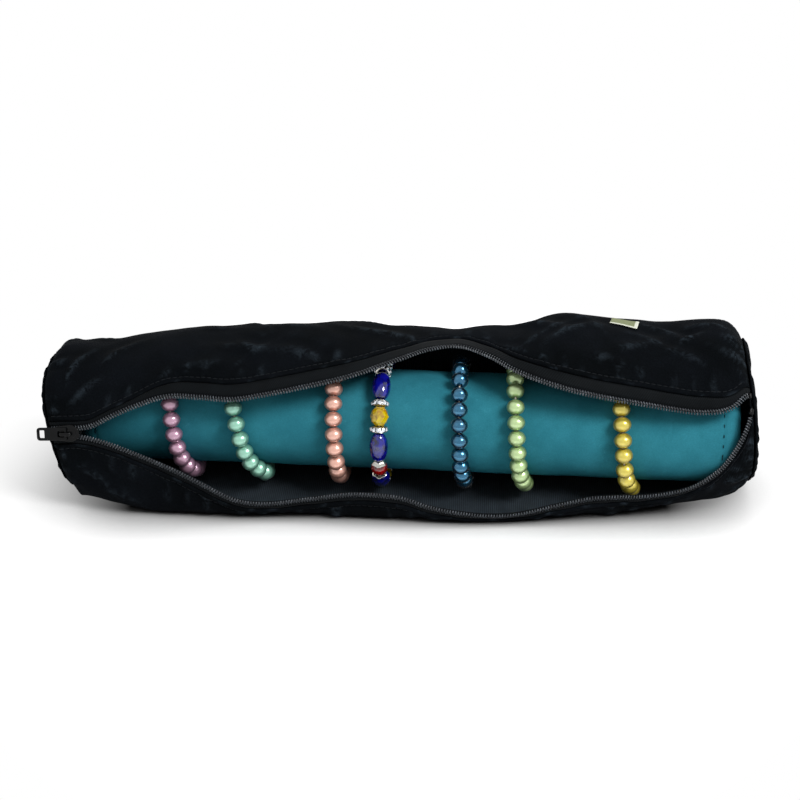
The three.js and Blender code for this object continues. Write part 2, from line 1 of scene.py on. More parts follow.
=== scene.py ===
"""Looks of the jewelry roll: a zipped black velvet bag, half open, with a padded teal roller inside it.

Shapes are worked out in millimetres in the frame that the solids were drawn in. `to_row` moves them
to the row frame in metres.
"""
import logging
import math
from collections.abc import Callable, Sequence
from dataclasses import dataclass, field
from enum import Enum

import bpy
import numpy as np
from mathutils import Matrix, Vector


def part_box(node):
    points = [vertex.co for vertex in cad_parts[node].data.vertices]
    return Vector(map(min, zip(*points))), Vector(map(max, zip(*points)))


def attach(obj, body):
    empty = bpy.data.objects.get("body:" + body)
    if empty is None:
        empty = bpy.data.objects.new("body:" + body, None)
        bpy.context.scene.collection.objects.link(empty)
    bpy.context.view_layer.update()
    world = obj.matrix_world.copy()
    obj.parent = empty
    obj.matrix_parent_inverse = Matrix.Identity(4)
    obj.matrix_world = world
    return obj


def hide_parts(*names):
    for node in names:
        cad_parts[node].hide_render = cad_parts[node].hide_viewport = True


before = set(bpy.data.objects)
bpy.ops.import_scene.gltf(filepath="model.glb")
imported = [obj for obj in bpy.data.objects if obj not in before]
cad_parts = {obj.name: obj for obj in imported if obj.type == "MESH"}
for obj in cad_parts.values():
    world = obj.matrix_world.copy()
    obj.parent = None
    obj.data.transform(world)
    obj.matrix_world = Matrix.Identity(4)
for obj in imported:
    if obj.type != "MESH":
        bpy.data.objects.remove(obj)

log = logging.getLogger("jewelry_roll")

Array = np.ndarray
Curve = Callable[[Array], Array]
Material = bpy.types.Material

MM = 0.001
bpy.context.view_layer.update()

# Middle of the roller in the frame that the solids were drawn in, in mm
ROLLER_CENTRE = np.array([3.8, -3.8, 34.5])


# Numbers and vectors

def linear(code: str) -> tuple[float, float, float, float]:
    """Linear colour of an sRGB hex code.

    Args:
        code: six hex digits, such as "30767f".

    Returns:
        Linear red, green, blue, and an alpha of 1.
    """
    shares = [int(code[i:i + 2], 16) / 255 for i in (0, 2, 4)]
    plain = [s / 12.92 if s <= 0.04045 else ((s + 0.055) / 1.055) ** 2.4 for s in shares]
    return plain[0], plain[1], plain[2], 1.0


def unit(vectors: Array) -> Array:
    """Vectors scaled to length one."""
    return vectors / np.linalg.norm(vectors, axis=-1, keepdims=True)


def bell(distance: Array) -> Array:
    """Smooth bump: one at zero, and almost nothing past two."""
    return np.exp(-np.square(distance))


def ease(share: Array) -> Array:
    """Smooth step from 0 to 1 as the share goes from 0 to 1."""
    t = np.clip(share, 0.0, 1.0)
    return t * t * (3 - 2 * t)


def circle(count: int) -> Array:
    """Equally spaced angles round a full turn, from 0, in radians."""
    return 2 * np.pi * np.arange(count) / count


def squarish(wave: Array, power: float) -> Array:
    """Sines or cosines raised to a power below one with their sign kept, for a squarish round section."""
    return np.sign(wave) * np.abs(wave) ** power


def curve_through(stations: Sequence[float], values: Sequence[float], scale: float) -> Curve:
    """Smooth curve through values at stations: cubic pieces whose slopes are the neighbours' mean.

    Args:
        stations: places as shares of the scale.
        values: value at each station.
        scale: length that the stations are shares of, in mm.

    Returns:
        Function of an array of places in mm.
    """
    places, heights = np.array(stations, float), np.array(values, float)
    last = len(places) - 1
    index = np.arange(last + 1)
    low, high = np.maximum(index - 1, 0), np.minimum(index + 1, last)
    slopes = (heights[high] - heights[low]) / (places[high] - places[low])

    def curve(x: Array) -> Array:
        """Value of the curve at x in mm."""
        share = np.clip(np.asarray(x, float) / scale, places[0], places[-1])
        i = np.searchsorted(places[1:-1], share, side="left")
        span = places[i + 1] - places[i]
        t = (share - places[i]) / span
        from_start = (2 * t - 3) * t * t + 1
        return (from_start * heights[i] + (1 - from_start) * heights[i + 1]
                + span * (((t - 2) * t + 1) * t * slopes[i] + (t - 1) * t * t * slopes[i + 1]))

    return curve


# Meshes

@dataclass
class Surface:
    """Points in mm with faces on them.

    Where a pattern needs them, each point has a (u, v) in metres, or a share of painted highlight on the
    ridges of folds.
    """

    points: Array
    faces: list[Array]
    uv: Array | None = None
    highlight_share: Array | None = None

    def outward(self) -> "Surface":
        """The same closed surface with its faces turned outwards, told by the sign of its volume."""
        volume = 0.0
        for block in self.faces:
            corners = self.points[block]
            for k in range(1, block.shape[1] - 1):
                cross = np.cross(corners[:, k], corners[:, k + 1])
                volume += float(np.einsum("ij,ij->", corners[:, 0], cross))
        if volume < 0:
            self.faces = [block[:, ::-1] for block in self.faces]
        return self


def grid_faces(rows: int, columns: int, wrap_rows: bool = False, wrap_columns: bool = False) -> Array:
    """Four-sided faces of a grid of points, row after row.

    Args:
        rows: number of rows of points.
        columns: number of points in a row.
        wrap_rows: whether the last row joins the first.
        wrap_columns: whether the last column joins the first.

    Returns:
        Array of faces, four point numbers each.
    """
    i = np.arange(rows if wrap_rows else rows - 1)[:, None]
    j = np.arange(columns if wrap_columns else columns - 1)[None, :]
    down, right = (i + 1) % rows, (j + 1) % columns
    corners = [i * columns + j, down * columns + j, down * columns + right, i * columns + right]
    return np.stack(np.broadcast_arrays(*corners), axis=-1).reshape(-1, 4)


def shell(outer: Array, inner: Array, uv: Array | None = None, highlight_share: Array | None = None) -> Surface:
    """Closed wall between two equal grids of points, joined along all four borders.

    Args:
        outer: grid of points, rows by columns by 3.
        inner: the other face's points, same shape.
        uv: optional grid of (u, v), used on both faces.
        highlight_share: optional grid of painted highlight on the outer face.

    Returns:
        The closed surface.
    """
    loops = np.concatenate([outer, inner[:, ::-1]], axis=1)
    rows, columns = loops.shape[:2]
    j = np.arange(columns // 2 - 1)
    ladder = np.stack([j, j + 1, columns - 2 - j, columns - 1 - j], axis=-1)
    far = ladder[:, ::-1] + (rows - 1) * columns
    both = None if uv is None else np.concatenate([uv, uv[:, ::-1]], axis=1).reshape(-1, 2)
    faces = [grid_faces(rows, columns, wrap_columns=True), ladder, far]
    # Painted highlight goes on the outer face only
    wear_and_highlight = None if highlight_share is None else np.concatenate([highlight_share, 0 * highlight_share], axis=1).ravel()
    return Surface(loops.reshape(-1, 3), faces, both, wear_and_highlight).outward()


def stacked(rings: Array, closed: bool = False) -> Surface:
    """Closed body of rings of points, one after the other.

    Args:
        rings: points, rows by columns by 3.
        closed: whether the last ring joins the first. Otherwise flat caps close the two ends.

    Returns:
        The closed surface.
    """
    rows, columns = rings.shape[:2]
    faces = [grid_faces(rows, columns, closed, True)]
    if not closed:
        cap = np.arange(columns)[None, :]
        faces += [cap, (cap + (rows - 1) * columns)[:, ::-1]]
    return Surface(rings.reshape(-1, 3), faces).outward()


def lens(outer: Array, inner: Array) -> Surface:
    """Closed disc between two grids of rings, whose first rings are one point and whose last rings meet.

    Args:
        outer: rings from the middle outwards, rows by columns by 3.
        inner: the other face's rings, same shape.

    Returns:
        The closed surface.
    """
    loops = np.concatenate([outer[1:], inner[1:][::-1]], axis=0)
    rows, columns = loops.shape[:2]
    points = np.concatenate([loops.reshape(-1, 3), outer[0, :1], inner[0, :1]])
    j = np.arange(columns)
    near = np.stack([(j + 1) % columns, j, np.full(columns, rows * columns)], axis=-1)
    start = (rows - 1) * columns
    far = np.stack([start + j, start + (j + 1) % columns, np.full(columns, rows * columns + 1)], axis=-1)
    faces = [grid_faces(rows, columns, wrap_columns=True), near[:, ::-1], far[:, ::-1]]
    return Surface(points, faces).outward()


def tube(path: Array, radius: Array | float, sides: int, reference: Array, closed: bool = False) -> Surface:
    """Round tube along a path: each point of the path carries a ring across its tangent.

    Args:
        path: points of the centre line, n by 3.
        radius: one radius, or one for each point.
        sides: points in a ring.
        reference: a direction at each point that isn't along the path.
        closed: whether the path returns to its start.

    Returns:
        The closed surface.
    """
    if closed:
        tangent = unit(np.roll(path, -1, axis=0) - np.roll(path, 1, axis=0))
    else:
        tangent = unit(np.gradient(path, axis=0))
    second = unit(np.cross(tangent, reference))
    first = np.cross(second, tangent)
    turn = circle(sides)[:, None]
    spread = first[:, None] * np.cos(turn) + second[:, None] * np.sin(turn)
    wide = np.broadcast_to(np.asarray(radius, float), len(path))
    return stacked(path[:, None] + wide[:, None, None] * spread, closed)


# Share of a scalloped cap's radius that the scallops cut away
SCALLOP_DEPTH = 0.16


def turned(place: Array, axis: Array, side: Array, profile: Array, sides: int,
           closed: bool = False, twist: Array | None = None, petals: int = 0) -> Surface:
    """One body of revolution at each place: the profile (along, radius) turned about the place's axis.

    Args:
        place: centres, n by 3.
        axis: direction of each body's axis.
        side: a direction across each axis.
        profile: rows of (along, radius) in mm.
        sides: points round a body.
        closed: whether the profile's end joins its start, as round a bead's hole. Otherwise flat caps
            close the ends.
        twist: turn of each row as a share of the step between two sides, for cut facets.
        petals: number of scallops round the widest rows, 0 for none.

    Returns:
        All the bodies as one surface.
    """
    third = np.cross(axis, side)
    steps = np.zeros(len(profile)) if twist is None else twist
    turn = 2 * np.pi * (np.arange(sides)[None, :] + steps[:, None]) / sides
    radius = profile[:, 1:2] * np.ones_like(turn)
    if petals:
        scallop = SCALLOP_DEPTH * np.square(np.sin(petals * turn / 2))
        radius = radius * (1 - scallop * (radius / radius.max()) ** 2)
    spread = (side[:, None, None] * np.cos(turn)[..., None] + third[:, None, None] * np.sin(turn)[..., None])
    points = (place[:, None, None] + axis[:, None, None] * profile[None, :, None, None, 0]
              + spread * radius[None, ..., None])
    each = len(profile) * sides
    start = (np.arange(len(place)) * each)[:, None, None]
    faces = [(grid_faces(len(profile), sides, closed, True)[None] + start).reshape(-1, 4)]
    if not closed:
        cap = np.arange(sides)[None, None, :] + start
        faces += [cap.reshape(-1, sides), (cap + each - sides)[..., ::-1].reshape(-1, sides)]
    return Surface(points.reshape(-1, 3), faces).outward()


def row_shift() -> Array:
    """Move in mm from the frame of the drawing to the row frame, read from where the roller's core is."""
    low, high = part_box("roller_core")
    return (np.array(low) + np.array(high)) / 2 / MM - ROLLER_CENTRE


SHIFT = row_shift()


def to_row(points: Array) -> Array:
    """Points in metres in the row frame, from mm in the frame of the drawing."""
    return (points + SHIFT) * MM


def piece(name: str, surfaces: Sequence[Surface], finish: Material, body: str,
          replaces: Sequence[str] = (), sharp: float | None = None) -> bpy.types.Object:
    """Makes one named piece from surfaces and puts it on its body.

    Args:
        name: the piece's name.
        surfaces: closed surfaces that make it up.
        finish: its material.
        body: the body that it moves with.
        replaces: CAD nodes that it stands for.
        sharp: angle in degrees past which an edge looks sharp, or None for smooth all over.

    Returns:
        The finished object.
    """
    faces: list[list[int]] = []
    start = 0
    for surface in surfaces:
        for block in surface.faces:
            faces.extend((block + start).tolist())
        start += len(surface.points)
    points = to_row(np.concatenate([surface.points for surface in surfaces]))
    mesh = bpy.data.meshes.new(name)
    mesh.from_pydata(points.tolist(), [], faces)
    mesh.polygons.foreach_set("use_smooth", np.ones(len(mesh.polygons), bool))
    if all(surface.uv is not None for surface in surfaces):
        corner = np.zeros(len(mesh.loops), np.int32)
        mesh.loops.foreach_get("vertex_index", corner)
        layer = mesh.uv_layers.new(name="UVMap")
        layer.data.foreach_set("uv", np.concatenate([s.uv for s in surfaces])[corner].ravel())
    # Share of painted highlight on fold ridges, kept as a point attribute for the velvet
    if all(surface.highlight_share is not None for surface in surfaces):
        rubbed = mesh.attributes.new("rubbed", "FLOAT", "POINT")
        rubbed.data.foreach_set("value", np.concatenate([s.highlight_share for s in surfaces]).astype(np.float32))
    if sharp is not None:
        mesh.set_sharp_from_angle(angle=math.radians(sharp))
    mesh.update()
    made = bpy.data.objects.new(name, mesh)
    bpy.context.scene.collection.objects.link(made)
    made.data.materials.append(finish)
    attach(made, body)
    if replaces:
        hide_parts(*replaces)
    log.info("%s: %d faces, on %s", name, len(faces), body)
    return made


# Materials

def feed(node: bpy.types.Node, links: dict) -> None:
    """Links sockets of a node to what feeds each: a socket, or a node for its first output."""
    for key, source in links.items():
        socket = source.outputs[0] if isinstance(source, bpy.types.Node) else source
        node.id_data.links.new(socket, node.inputs[key])


def add(tree: bpy.types.NodeTree, kind: str, settings: dict | None = None,
        links: dict | None = None) -> bpy.types.Node:
    """Adds a shader node.

    Args:
        tree: the material's node tree.
        kind: the node's type without its leading word ShaderNode.
        settings: values for its sockets or its properties; "stops" are a colour ramp's places and colours.
        links: for each socket of the node, the socket or the node that feeds it.

    Returns:
        The new node.
    """
    node = tree.nodes.new("ShaderNode" + kind)
    for key, value in (settings or {}).items():
        if key == "stops":
            ramp = node.color_ramp.elements
            while len(ramp) < len(value):
                ramp.new(0.5)
            for stop, (place, colour) in zip(ramp, value):
                stop.position, stop.color = place, colour
        elif isinstance(key, int) or key in node.inputs:
            node.inputs[key].default_value = value
        else:
            setattr(node, key, value)
    feed(node, links or {})
    return node


def grey(value: float) -> tuple[float, float, float, float]:
    """Grey of a given linear value, as a ramp's stop takes it."""
    return value, value, value, 1.0


class Pattern(Enum):
    """Coordinates that a pattern follows."""

    OBJECT = "Object"
    CLOTH = "UV"


# Width of one band of the wave texture at a scale of 1, which is 2 pi / 20
WAVE_BAND = 0.314


@dataclass(frozen=True)
class Finish:
    """Base of every finish: a named material with one surface shader and constants set on it."""

    name: str

    def start(self, constants: dict, pattern: Pattern = Pattern.OBJECT) -> tuple:
        """Makes the material with its surface shader.

        Args:
            constants: values for the surface shader's sockets.
            pattern: coordinates that the patterns follow.

        Returns:
            The material, its node tree, the surface shader and the coordinates' socket.
        """
        made = bpy.data.materials.new(self.name)
        made.use_nodes = True
        tree = made.node_tree
        tree.nodes.clear()
        surface = add(tree, "BsdfPrincipled", constants)
        add(tree, "OutputMaterial", {}, {"Surface": surface})
        coordinates = add(tree, "TexCoord").outputs[pattern.value]
        return made, tree, surface, coordinates


@dataclass(frozen=True)
class Velvet(Finish):
    """Polyester velvet, woven and sheared: a matt pile that goes lighter where it leans.

    The eye sees broad soft patches where the pile was stroked, thin pale marks where it is crushed,
    painted highlight along the ridges of folds, and a fine grain. The pile's threads are 0.1 mm; they
    are drawn at `grain` so they show.
    """

    deep: str = "050709"
    lean: str = "0a0d11"
    # Colour of the crushed streaks and of the painted highlight on fold ridges, and the sheen's tint
    crush_and_highlight: str = "2b333a"
    sheen: float = 0.025
    patch: float = 30.0
    streak: float = 6.0
    grain: float = 0.7
    contrast: float = 0.3
    streak_from: float = 0.72
    streak_share: float = 0.22
    # Whether painted highlight goes on the ridges of folds, read from the mesh
    rubbed: bool = False
    bump: float = 0.35

    def material(self) -> Material:
        """The velvet's material."""
        made, tree, surface, at = self.start({
            "Roughness": 0.9, "Specular IOR Level": 0.03, "Sheen Weight": self.sheen,
            "Sheen Roughness": 0.4, "Sheen Tint": linear(self.crush_and_highlight)})
        patch = add(tree, "TexNoise", {"Scale": 1 / (self.patch * MM), "Detail": 3.0, "Roughness": 0.6},
                    {"Vector": at})
        base = add(tree, "ValToRGB", {"stops": [(0.38, linear(self.deep)), (0.66, linear(self.lean))]},
                   {"Fac": patch})
        streak = add(tree, "TexNoise", {"Scale": 1 / (self.streak * MM), "Detail": 5.0, "Roughness": 0.65,
                                        "Distortion": 1.6}, {"Vector": at})
        marks = add(tree, "ValToRGB", {"stops": [(self.streak_from, grey(0.0)),
                                                 (self.streak_from + 0.1, grey(self.streak_share))]},
                    {"Fac": streak})
        # Painted highlight: the pale mark colour on the ridges of folds, broken up by the streak noise
        if self.rubbed:
            ridge = add(tree, "Attribute", {"attribute_name": "rubbed"})
            broken = add(tree, "ValToRGB", {"stops": [(0.42, grey(0.0)), (0.6, grey(0.75))]},
                         {"Fac": streak})
            wear_and_highlight = add(tree, "Math", {"operation": "MULTIPLY"}, {0: ridge.outputs["Fac"], 1: broken})
            marks = add(tree, "Math", {"operation": "MAXIMUM"}, {0: wear_and_highlight, 1: marks})
        grain = add(tree, "TexNoise", {"Scale": 1 / (self.grain * MM), "Detail": 2.0, "Roughness": 0.7},
                    {"Vector": at})
        speck = add(tree, "ValToRGB", {"stops": [(0.3, grey(1 - self.contrast)),
                                                 (0.7, grey(1 + self.contrast))]},
                    {"Fac": grain})
        # The mark colour goes on the random streaks and, as painted highlight, on the fold ridges
        marked = add(tree, "Mix", {"data_type": "RGBA", 7: linear(self.crush_and_highlight)}, {0: marks, 6: base})
        grained = add(tree, "Mix", {"data_type": "RGBA", "blend_type": "MULTIPLY", 0: 1.0},
                      {6: marked.outputs[2], 7: speck})
        bump = add(tree, "Bump", {"Strength": self.bump, "Distance": 0.3 * MM}, {"Height": grain})
        feed(surface, {"Base Color": grained.outputs[2], "Normal": bump})
        return made


@dataclass(frozen=True)
class Woven(Finish):
    """Woven synthetic cloth: lining taffeta or zip tape, with ribs that run along its own length.

    The thread spacing is 0.3 to 0.5 mm; the ribs are drawn at `rib` so they show.
    """

    dark: str = "101316"
    light: str = "23292e"
    rib: float = 0.8
    slant: float = 0.0
    shine: float = 0.55
    gloss: float = 0.1

    def material(self) -> Material:
        """The cloth's material."""
        made, tree, surface, at = self.start({"Roughness": self.shine, "Specular IOR Level": self.gloss,
                                              "Sheen Weight": 0.03, "Sheen Roughness": 0.5}, Pattern.CLOTH)
        turned_at = add(tree, "Mapping", {"Rotation": (0.0, 0.0, math.radians(self.slant))}, {"Vector": at})
        ribs = add(tree, "TexWave", {"Scale": 1 / (self.rib * MM) * WAVE_BAND, "Distortion": 0.6,
                                     "Detail": 1.0, "Detail Scale": 2.0},
                   {"Vector": turned_at})
        soil = add(tree, "TexNoise", {"Scale": 1 / (9 * MM), "Detail": 4.0}, {"Vector": at})
        both = add(tree, "Math", {"operation": "MULTIPLY"}, {0: ribs.outputs["Fac"], 1: soil})
        tone = add(tree, "ValToRGB", {"stops": [(0.12, linear(self.dark)), (0.55, linear(self.light))]},
                   {"Fac": both})
        bump = add(tree, "Bump", {"Strength": 0.4, "Distance": 0.15 * MM}, {"Height": ribs.outputs["Fac"]})
        feed(surface, {"Base Color": tone, "Normal": bump})
        return made


@dataclass(frozen=True)
class Moulded(Finish):
    """Drawn nylon, lacquered zinc or polyester thread: one colour, with small changes of gloss on it."""

    colour: str = "16181a"
    wear_and_highlight: str = "2a2d30"
    gloss: tuple[float, float] = (0.28, 0.45)
    metal: float = 0.0
    shine: float = 0.5
    mottle: float = 3.0
    relief: float = 0.03

    def material(self) -> Material:
        """The moulded or lacquered material."""
        made, tree, surface, at = self.start({"Metallic": self.metal, "Specular IOR Level": self.shine})
        wear = add(tree, "TexNoise", {"Scale": 1 / (self.mottle * MM), "Detail": 5.0, "Roughness": 0.6},
                   {"Vector": at})
        tone = add(tree, "ValToRGB", {"stops": [(0.45, linear(self.colour)), (0.75, linear(self.wear_and_highlight))]},
                   {"Fac": wear})
        gloss = add(tree, "MapRange", {"To Min": self.gloss[0], "To Max": self.gloss[1]}, {"Value": wear})
        bump = add(tree, "Bump", {"Strength": 0.3, "Distance": self.relief * MM}, {"Height": wear})
        feed(surface, {"Base Color": tone, "Roughness": gloss, "Normal": bump})
        return made


@dataclass(frozen=True)
class Pearl(Finish):
    """Imitation pearl: a glass bead dipped in coloured pearl lacquer, under a clear coat.

    Its colour is pale where it faces the eye and turns darker and more saturated towards the rim as
    painted shade, with a faint cloudiness from dipping.
    """

    face: str = "b07fa6"
    # Colour at the rim, with the painted shade in it
    rim: str = "6d4565"
    metal: float = 0.4
    gloss: float = 0.28

    def material(self) -> Material:
        """The pearl's material."""
        made, tree, surface, at = self.start({
            "Metallic": self.metal, "Roughness": self.gloss, "Coat Weight": 0.9, "Coat Roughness": 0.08,
            "Sheen Weight": 0.15, "Sheen Roughness": 0.3})
        cloud = add(tree, "TexNoise", {"Scale": 1 / (2.5 * MM), "Detail": 3.0}, {"Vector": at})
        # Painted shade: the colour darkens towards the rim as the surface turns away from the eye, with the
        # dipping's cloudiness mixed in
        facing = add(tree, "LayerWeight", {"Blend": 0.45})
        depth = add(tree, "Math", {"operation": "MULTIPLY_ADD", 1: 0.25},
                    {0: cloud, 2: facing.outputs["Facing"]})
        tone = add(tree, "ValToRGB", {"stops": [(0.18, linear(self.face)), (0.8, linear(self.rim))]},
                   {"Fac": depth})
        bump = add(tree, "Bump", {"Strength": 0.12, "Distance": 0.05 * MM}, {"Height": cloud})
        feed(surface, {"Base Color": tone, "Normal": bump})
        return made


@dataclass(frozen=True)
class Glass(Finish):
    """Pressed or cut soda glass, coloured through: clear, glossy, with faint flow lines inside."""

    colour: str = "10187e"
    deep: str = "06083a"
    clear: float = 0.6
    index: float = 1.52

    def material(self) -> Material:
        """The glass's material."""
        made, tree, surface, at = self.start({
            "Roughness": 0.05, "Transmission Weight": self.clear, "IOR": self.index, "Coat Weight": 0.5,
            "Coat Roughness": 0.03})
        flow = add(tree, "TexNoise", {"Scale": 1 / (3 * MM), "Detail": 2.0, "Distortion": 1.0},
                   {"Vector": at})
        tone = add(tree, "ValToRGB", {"stops": [(0.35, linear(self.deep)), (0.6, linear(self.colour))]},
                   {"Fac": flow})
        bump = add(tree, "Bump", {"Strength": 0.08, "Distance": 0.05 * MM}, {"Height": flow})
        feed(surface, {"Base Color": tone, "Normal": bump})
        return made


@dataclass(frozen=True)
class Fibrous(Finish):
    """Paperboard or polyester wadding: a matt mat of fibres, stretched along the roller."""

    colour: str = "a98c66"
    dark: str = "7e6444"
    fibre: float = 1.2
    stretch: float = 0.25

    def material(self) -> Material:
        """The fibrous material."""
        made, tree, surface, at = self.start({"Roughness": 0.92, "Specular IOR Level": 0.2})
        along = add(tree, "Mapping", {"Scale": (self.stretch, 1.0, 1.0)}, {"Vector": at})
        fibre = add(tree, "TexNoise", {"Scale": 1 / (self.fibre * MM), "Detail": 6.0, "Roughness": 0.7,
                                       "Distortion": 0.8}, {"Vector": along})
        tone = add(tree, "ValToRGB", {"stops": [(0.32, linear(self.dark)), (0.62, linear(self.colour))]},
                   {"Fac": fibre})
        bump = add(tree, "Bump", {"Strength": 0.6, "Distance": 0.3 * MM}, {"Height": fibre})
        feed(surface, {"Base Color": tone, "Normal": bump})
        return made


@dataclass(frozen=True)
class Damask(Finish):
    """Woven satin label: fine cross ribs in olive, with a pale selvage along its right and lower edges."""

    field_colour: str = "5c6540"
    light: str = "7a8250"
    selvage: str = "cfd2c2"
    rib: float = 0.6
    right_selvage: float = 1.6
    low_selvage: float = 1.1

    def material(self) -> Material:
        """The label's material."""
        made, tree, surface, at = self.start({"Roughness": 0.5, "Specular IOR Level": 0.4}, Pattern.CLOTH)
        ribs = add(tree, "TexWave", {"Scale": 1 / (self.rib * MM) * WAVE_BAND, "Distortion": 0.4},
                   {"Vector": at})
        tone = add(tree, "ValToRGB", {"stops": [(0.2, linear(self.field_colour)), (0.8, linear(self.light))]},
                   {"Fac": ribs.outputs["Fac"]})
        axes = add(tree, "SeparateXYZ", {}, {"Vector": at})
        right = add(tree, "Math", {"operation": "GREATER_THAN", 1: (LABEL_LENGTH - self.right_selvage) * MM},
                    {0: axes.outputs["X"]})
        low = add(tree, "Math", {"operation": "LESS_THAN", 1: self.low_selvage * MM}, {0: axes.outputs["Y"]})
        edge = add(tree, "Math", {"operation": "MAXIMUM"}, {0: right, 1: low})
        bordered = add(tree, "Mix", {"data_type": "RGBA", 7: linear(self.selvage)}, {0: edge, 6: tone})
        bump = add(tree, "Bump", {"Strength": 0.3, "Distance": 0.1 * MM}, {"Height": ribs.outputs["Fac"]})
        feed(surface, {"Base Color": bordered.outputs[2], "Normal": bump})
        return made


# The bag's skin and its folds

# Radius of the bag that turns an angle into a distance round it, in mm
FOLD_RADIUS = 40.0


def turned_from(angle: Array, degrees: float) -> Array:
    """Angle counted from a direction in degrees, from minus half a turn to half a turn, in radians."""
    return np.mod(angle - math.radians(degrees) + np.pi, 2 * np.pi) - np.pi


@dataclass(frozen=True)
class Crease:
    """A fold in the velvet: a soft ridge with a valley beside it.

    Its height is a bell across it, less a wider bell beside it, faded out towards its ends. `half` is
    half its length. The valley's sizes are shares of the ridge's width and height, and `bow` bends it.
    """

    x: float
    degrees: float
    slant: float
    half: float
    width: float
    height: float
    bow: float = 0.14
    valley_at: float = 1.9
    valley_width: float = 1.3
    valley_depth: float = 0.6

    def lift(self, x: Array, angle: Array) -> Array:
        """How far the fold lifts the skin at x in mm and an angle in radians, in mm."""
        round_it = FOLD_RADIUS * turned_from(angle, self.degrees)
        turn = math.radians(self.slant)
        along = (math.cos(turn) * (x - self.x) + math.sin(turn) * round_it) / self.half
        bowed = self.bow * self.half * np.square(along) / self.width
        across = (math.cos(turn) * round_it - math.sin(turn) * (x - self.x)) / self.width + bowed
        valley = self.valley_depth * bell((across - self.valley_at) / self.valley_width)
        return self.height * bell(along * 1.1) ** 1.5 * (bell(across) - valley)


# Folds that the photograph shows: the long one above the middle of the mouth, the crushed velvet
# at the upper right, and the ones that fan out from the slider.
SEEN_CREASES = (
    Crease(-42, 62, -27, 26, 3.2, 1.7),
    Crease(-70, 74, -18, 20, 3.0, 1.1),
    Crease(-8, 92, -22, 26, 3.4, 1.2),
    Crease(62, 98, -30, 22, 3.4, 1.9),
    Crease(78, 84, 24, 17, 2.8, 1.6),
    Crease(121, 92, -34, 13, 2.4, 1.7),
    Crease(133, 80, 28, 12, 2.3, 1.5),
    Crease(142, 94, -12, 12, 2.2, 1.5),
    Crease(128, 66, -20, 14, 2.6, 1.2),
    Crease(108, 72, 15, 18, 2.8, 1.2),
    Crease(-140, 46, 40, 13, 2.4, 1.2),
    Crease(-146, 66, 68, 12, 2.2, 1.2),
    Crease(-128, 80, 52, 15, 2.6, 1.1),
    Crease(-141, -14, -38, 13, 2.3, 1.2),
    Crease(-126, -30, -24, 17, 2.6, 1.1),
    Crease(-96, 58, 12, 20, 2.8, 0.9),
    Crease(150, 8, 70, 11, 2.2, 1.2),
    Crease(146, -18, 42, 13, 2.4, 1.2),
    Crease(96, 58, -14, 20, 2.7, 0.9),
    Crease(30, -48, 6, 26, 3.0, 0.8),
    Crease(104, -46, 14, 22, 2.6, 0.9),
)


def scattered_creases(count: int) -> tuple[Crease, ...]:
    """Seeded folds over the back, the top and the ends, denser towards the ends.

    Args:
        count: how many folds.

    Returns:
        The folds.
    """
    draw = np.random.default_rng(20)
    creases = []
    for _ in range(count):
        toward_end = 1 if draw.random() < 0.5 else -1
        x = toward_end * 158 * (1 - draw.random() ** 1.5 * 0.95)
        half = draw.uniform(9, 22)
        creases.append(Crease(x, draw.uniform(70, 300), draw.uniform(-60, 60), half,
                              draw.uniform(1.9, 3.4), draw.uniform(0.5, 1.4)))
    return tuple(creases)


class Edge(Enum):
    """The two edges of the mouth, with the sign of the way from each lip into the cloth."""

    UPPER = 1
    LOWER = -1

    @property
    def word(self) -> str:
        """The edge's word in the names of pieces."""
        return self.name.lower()


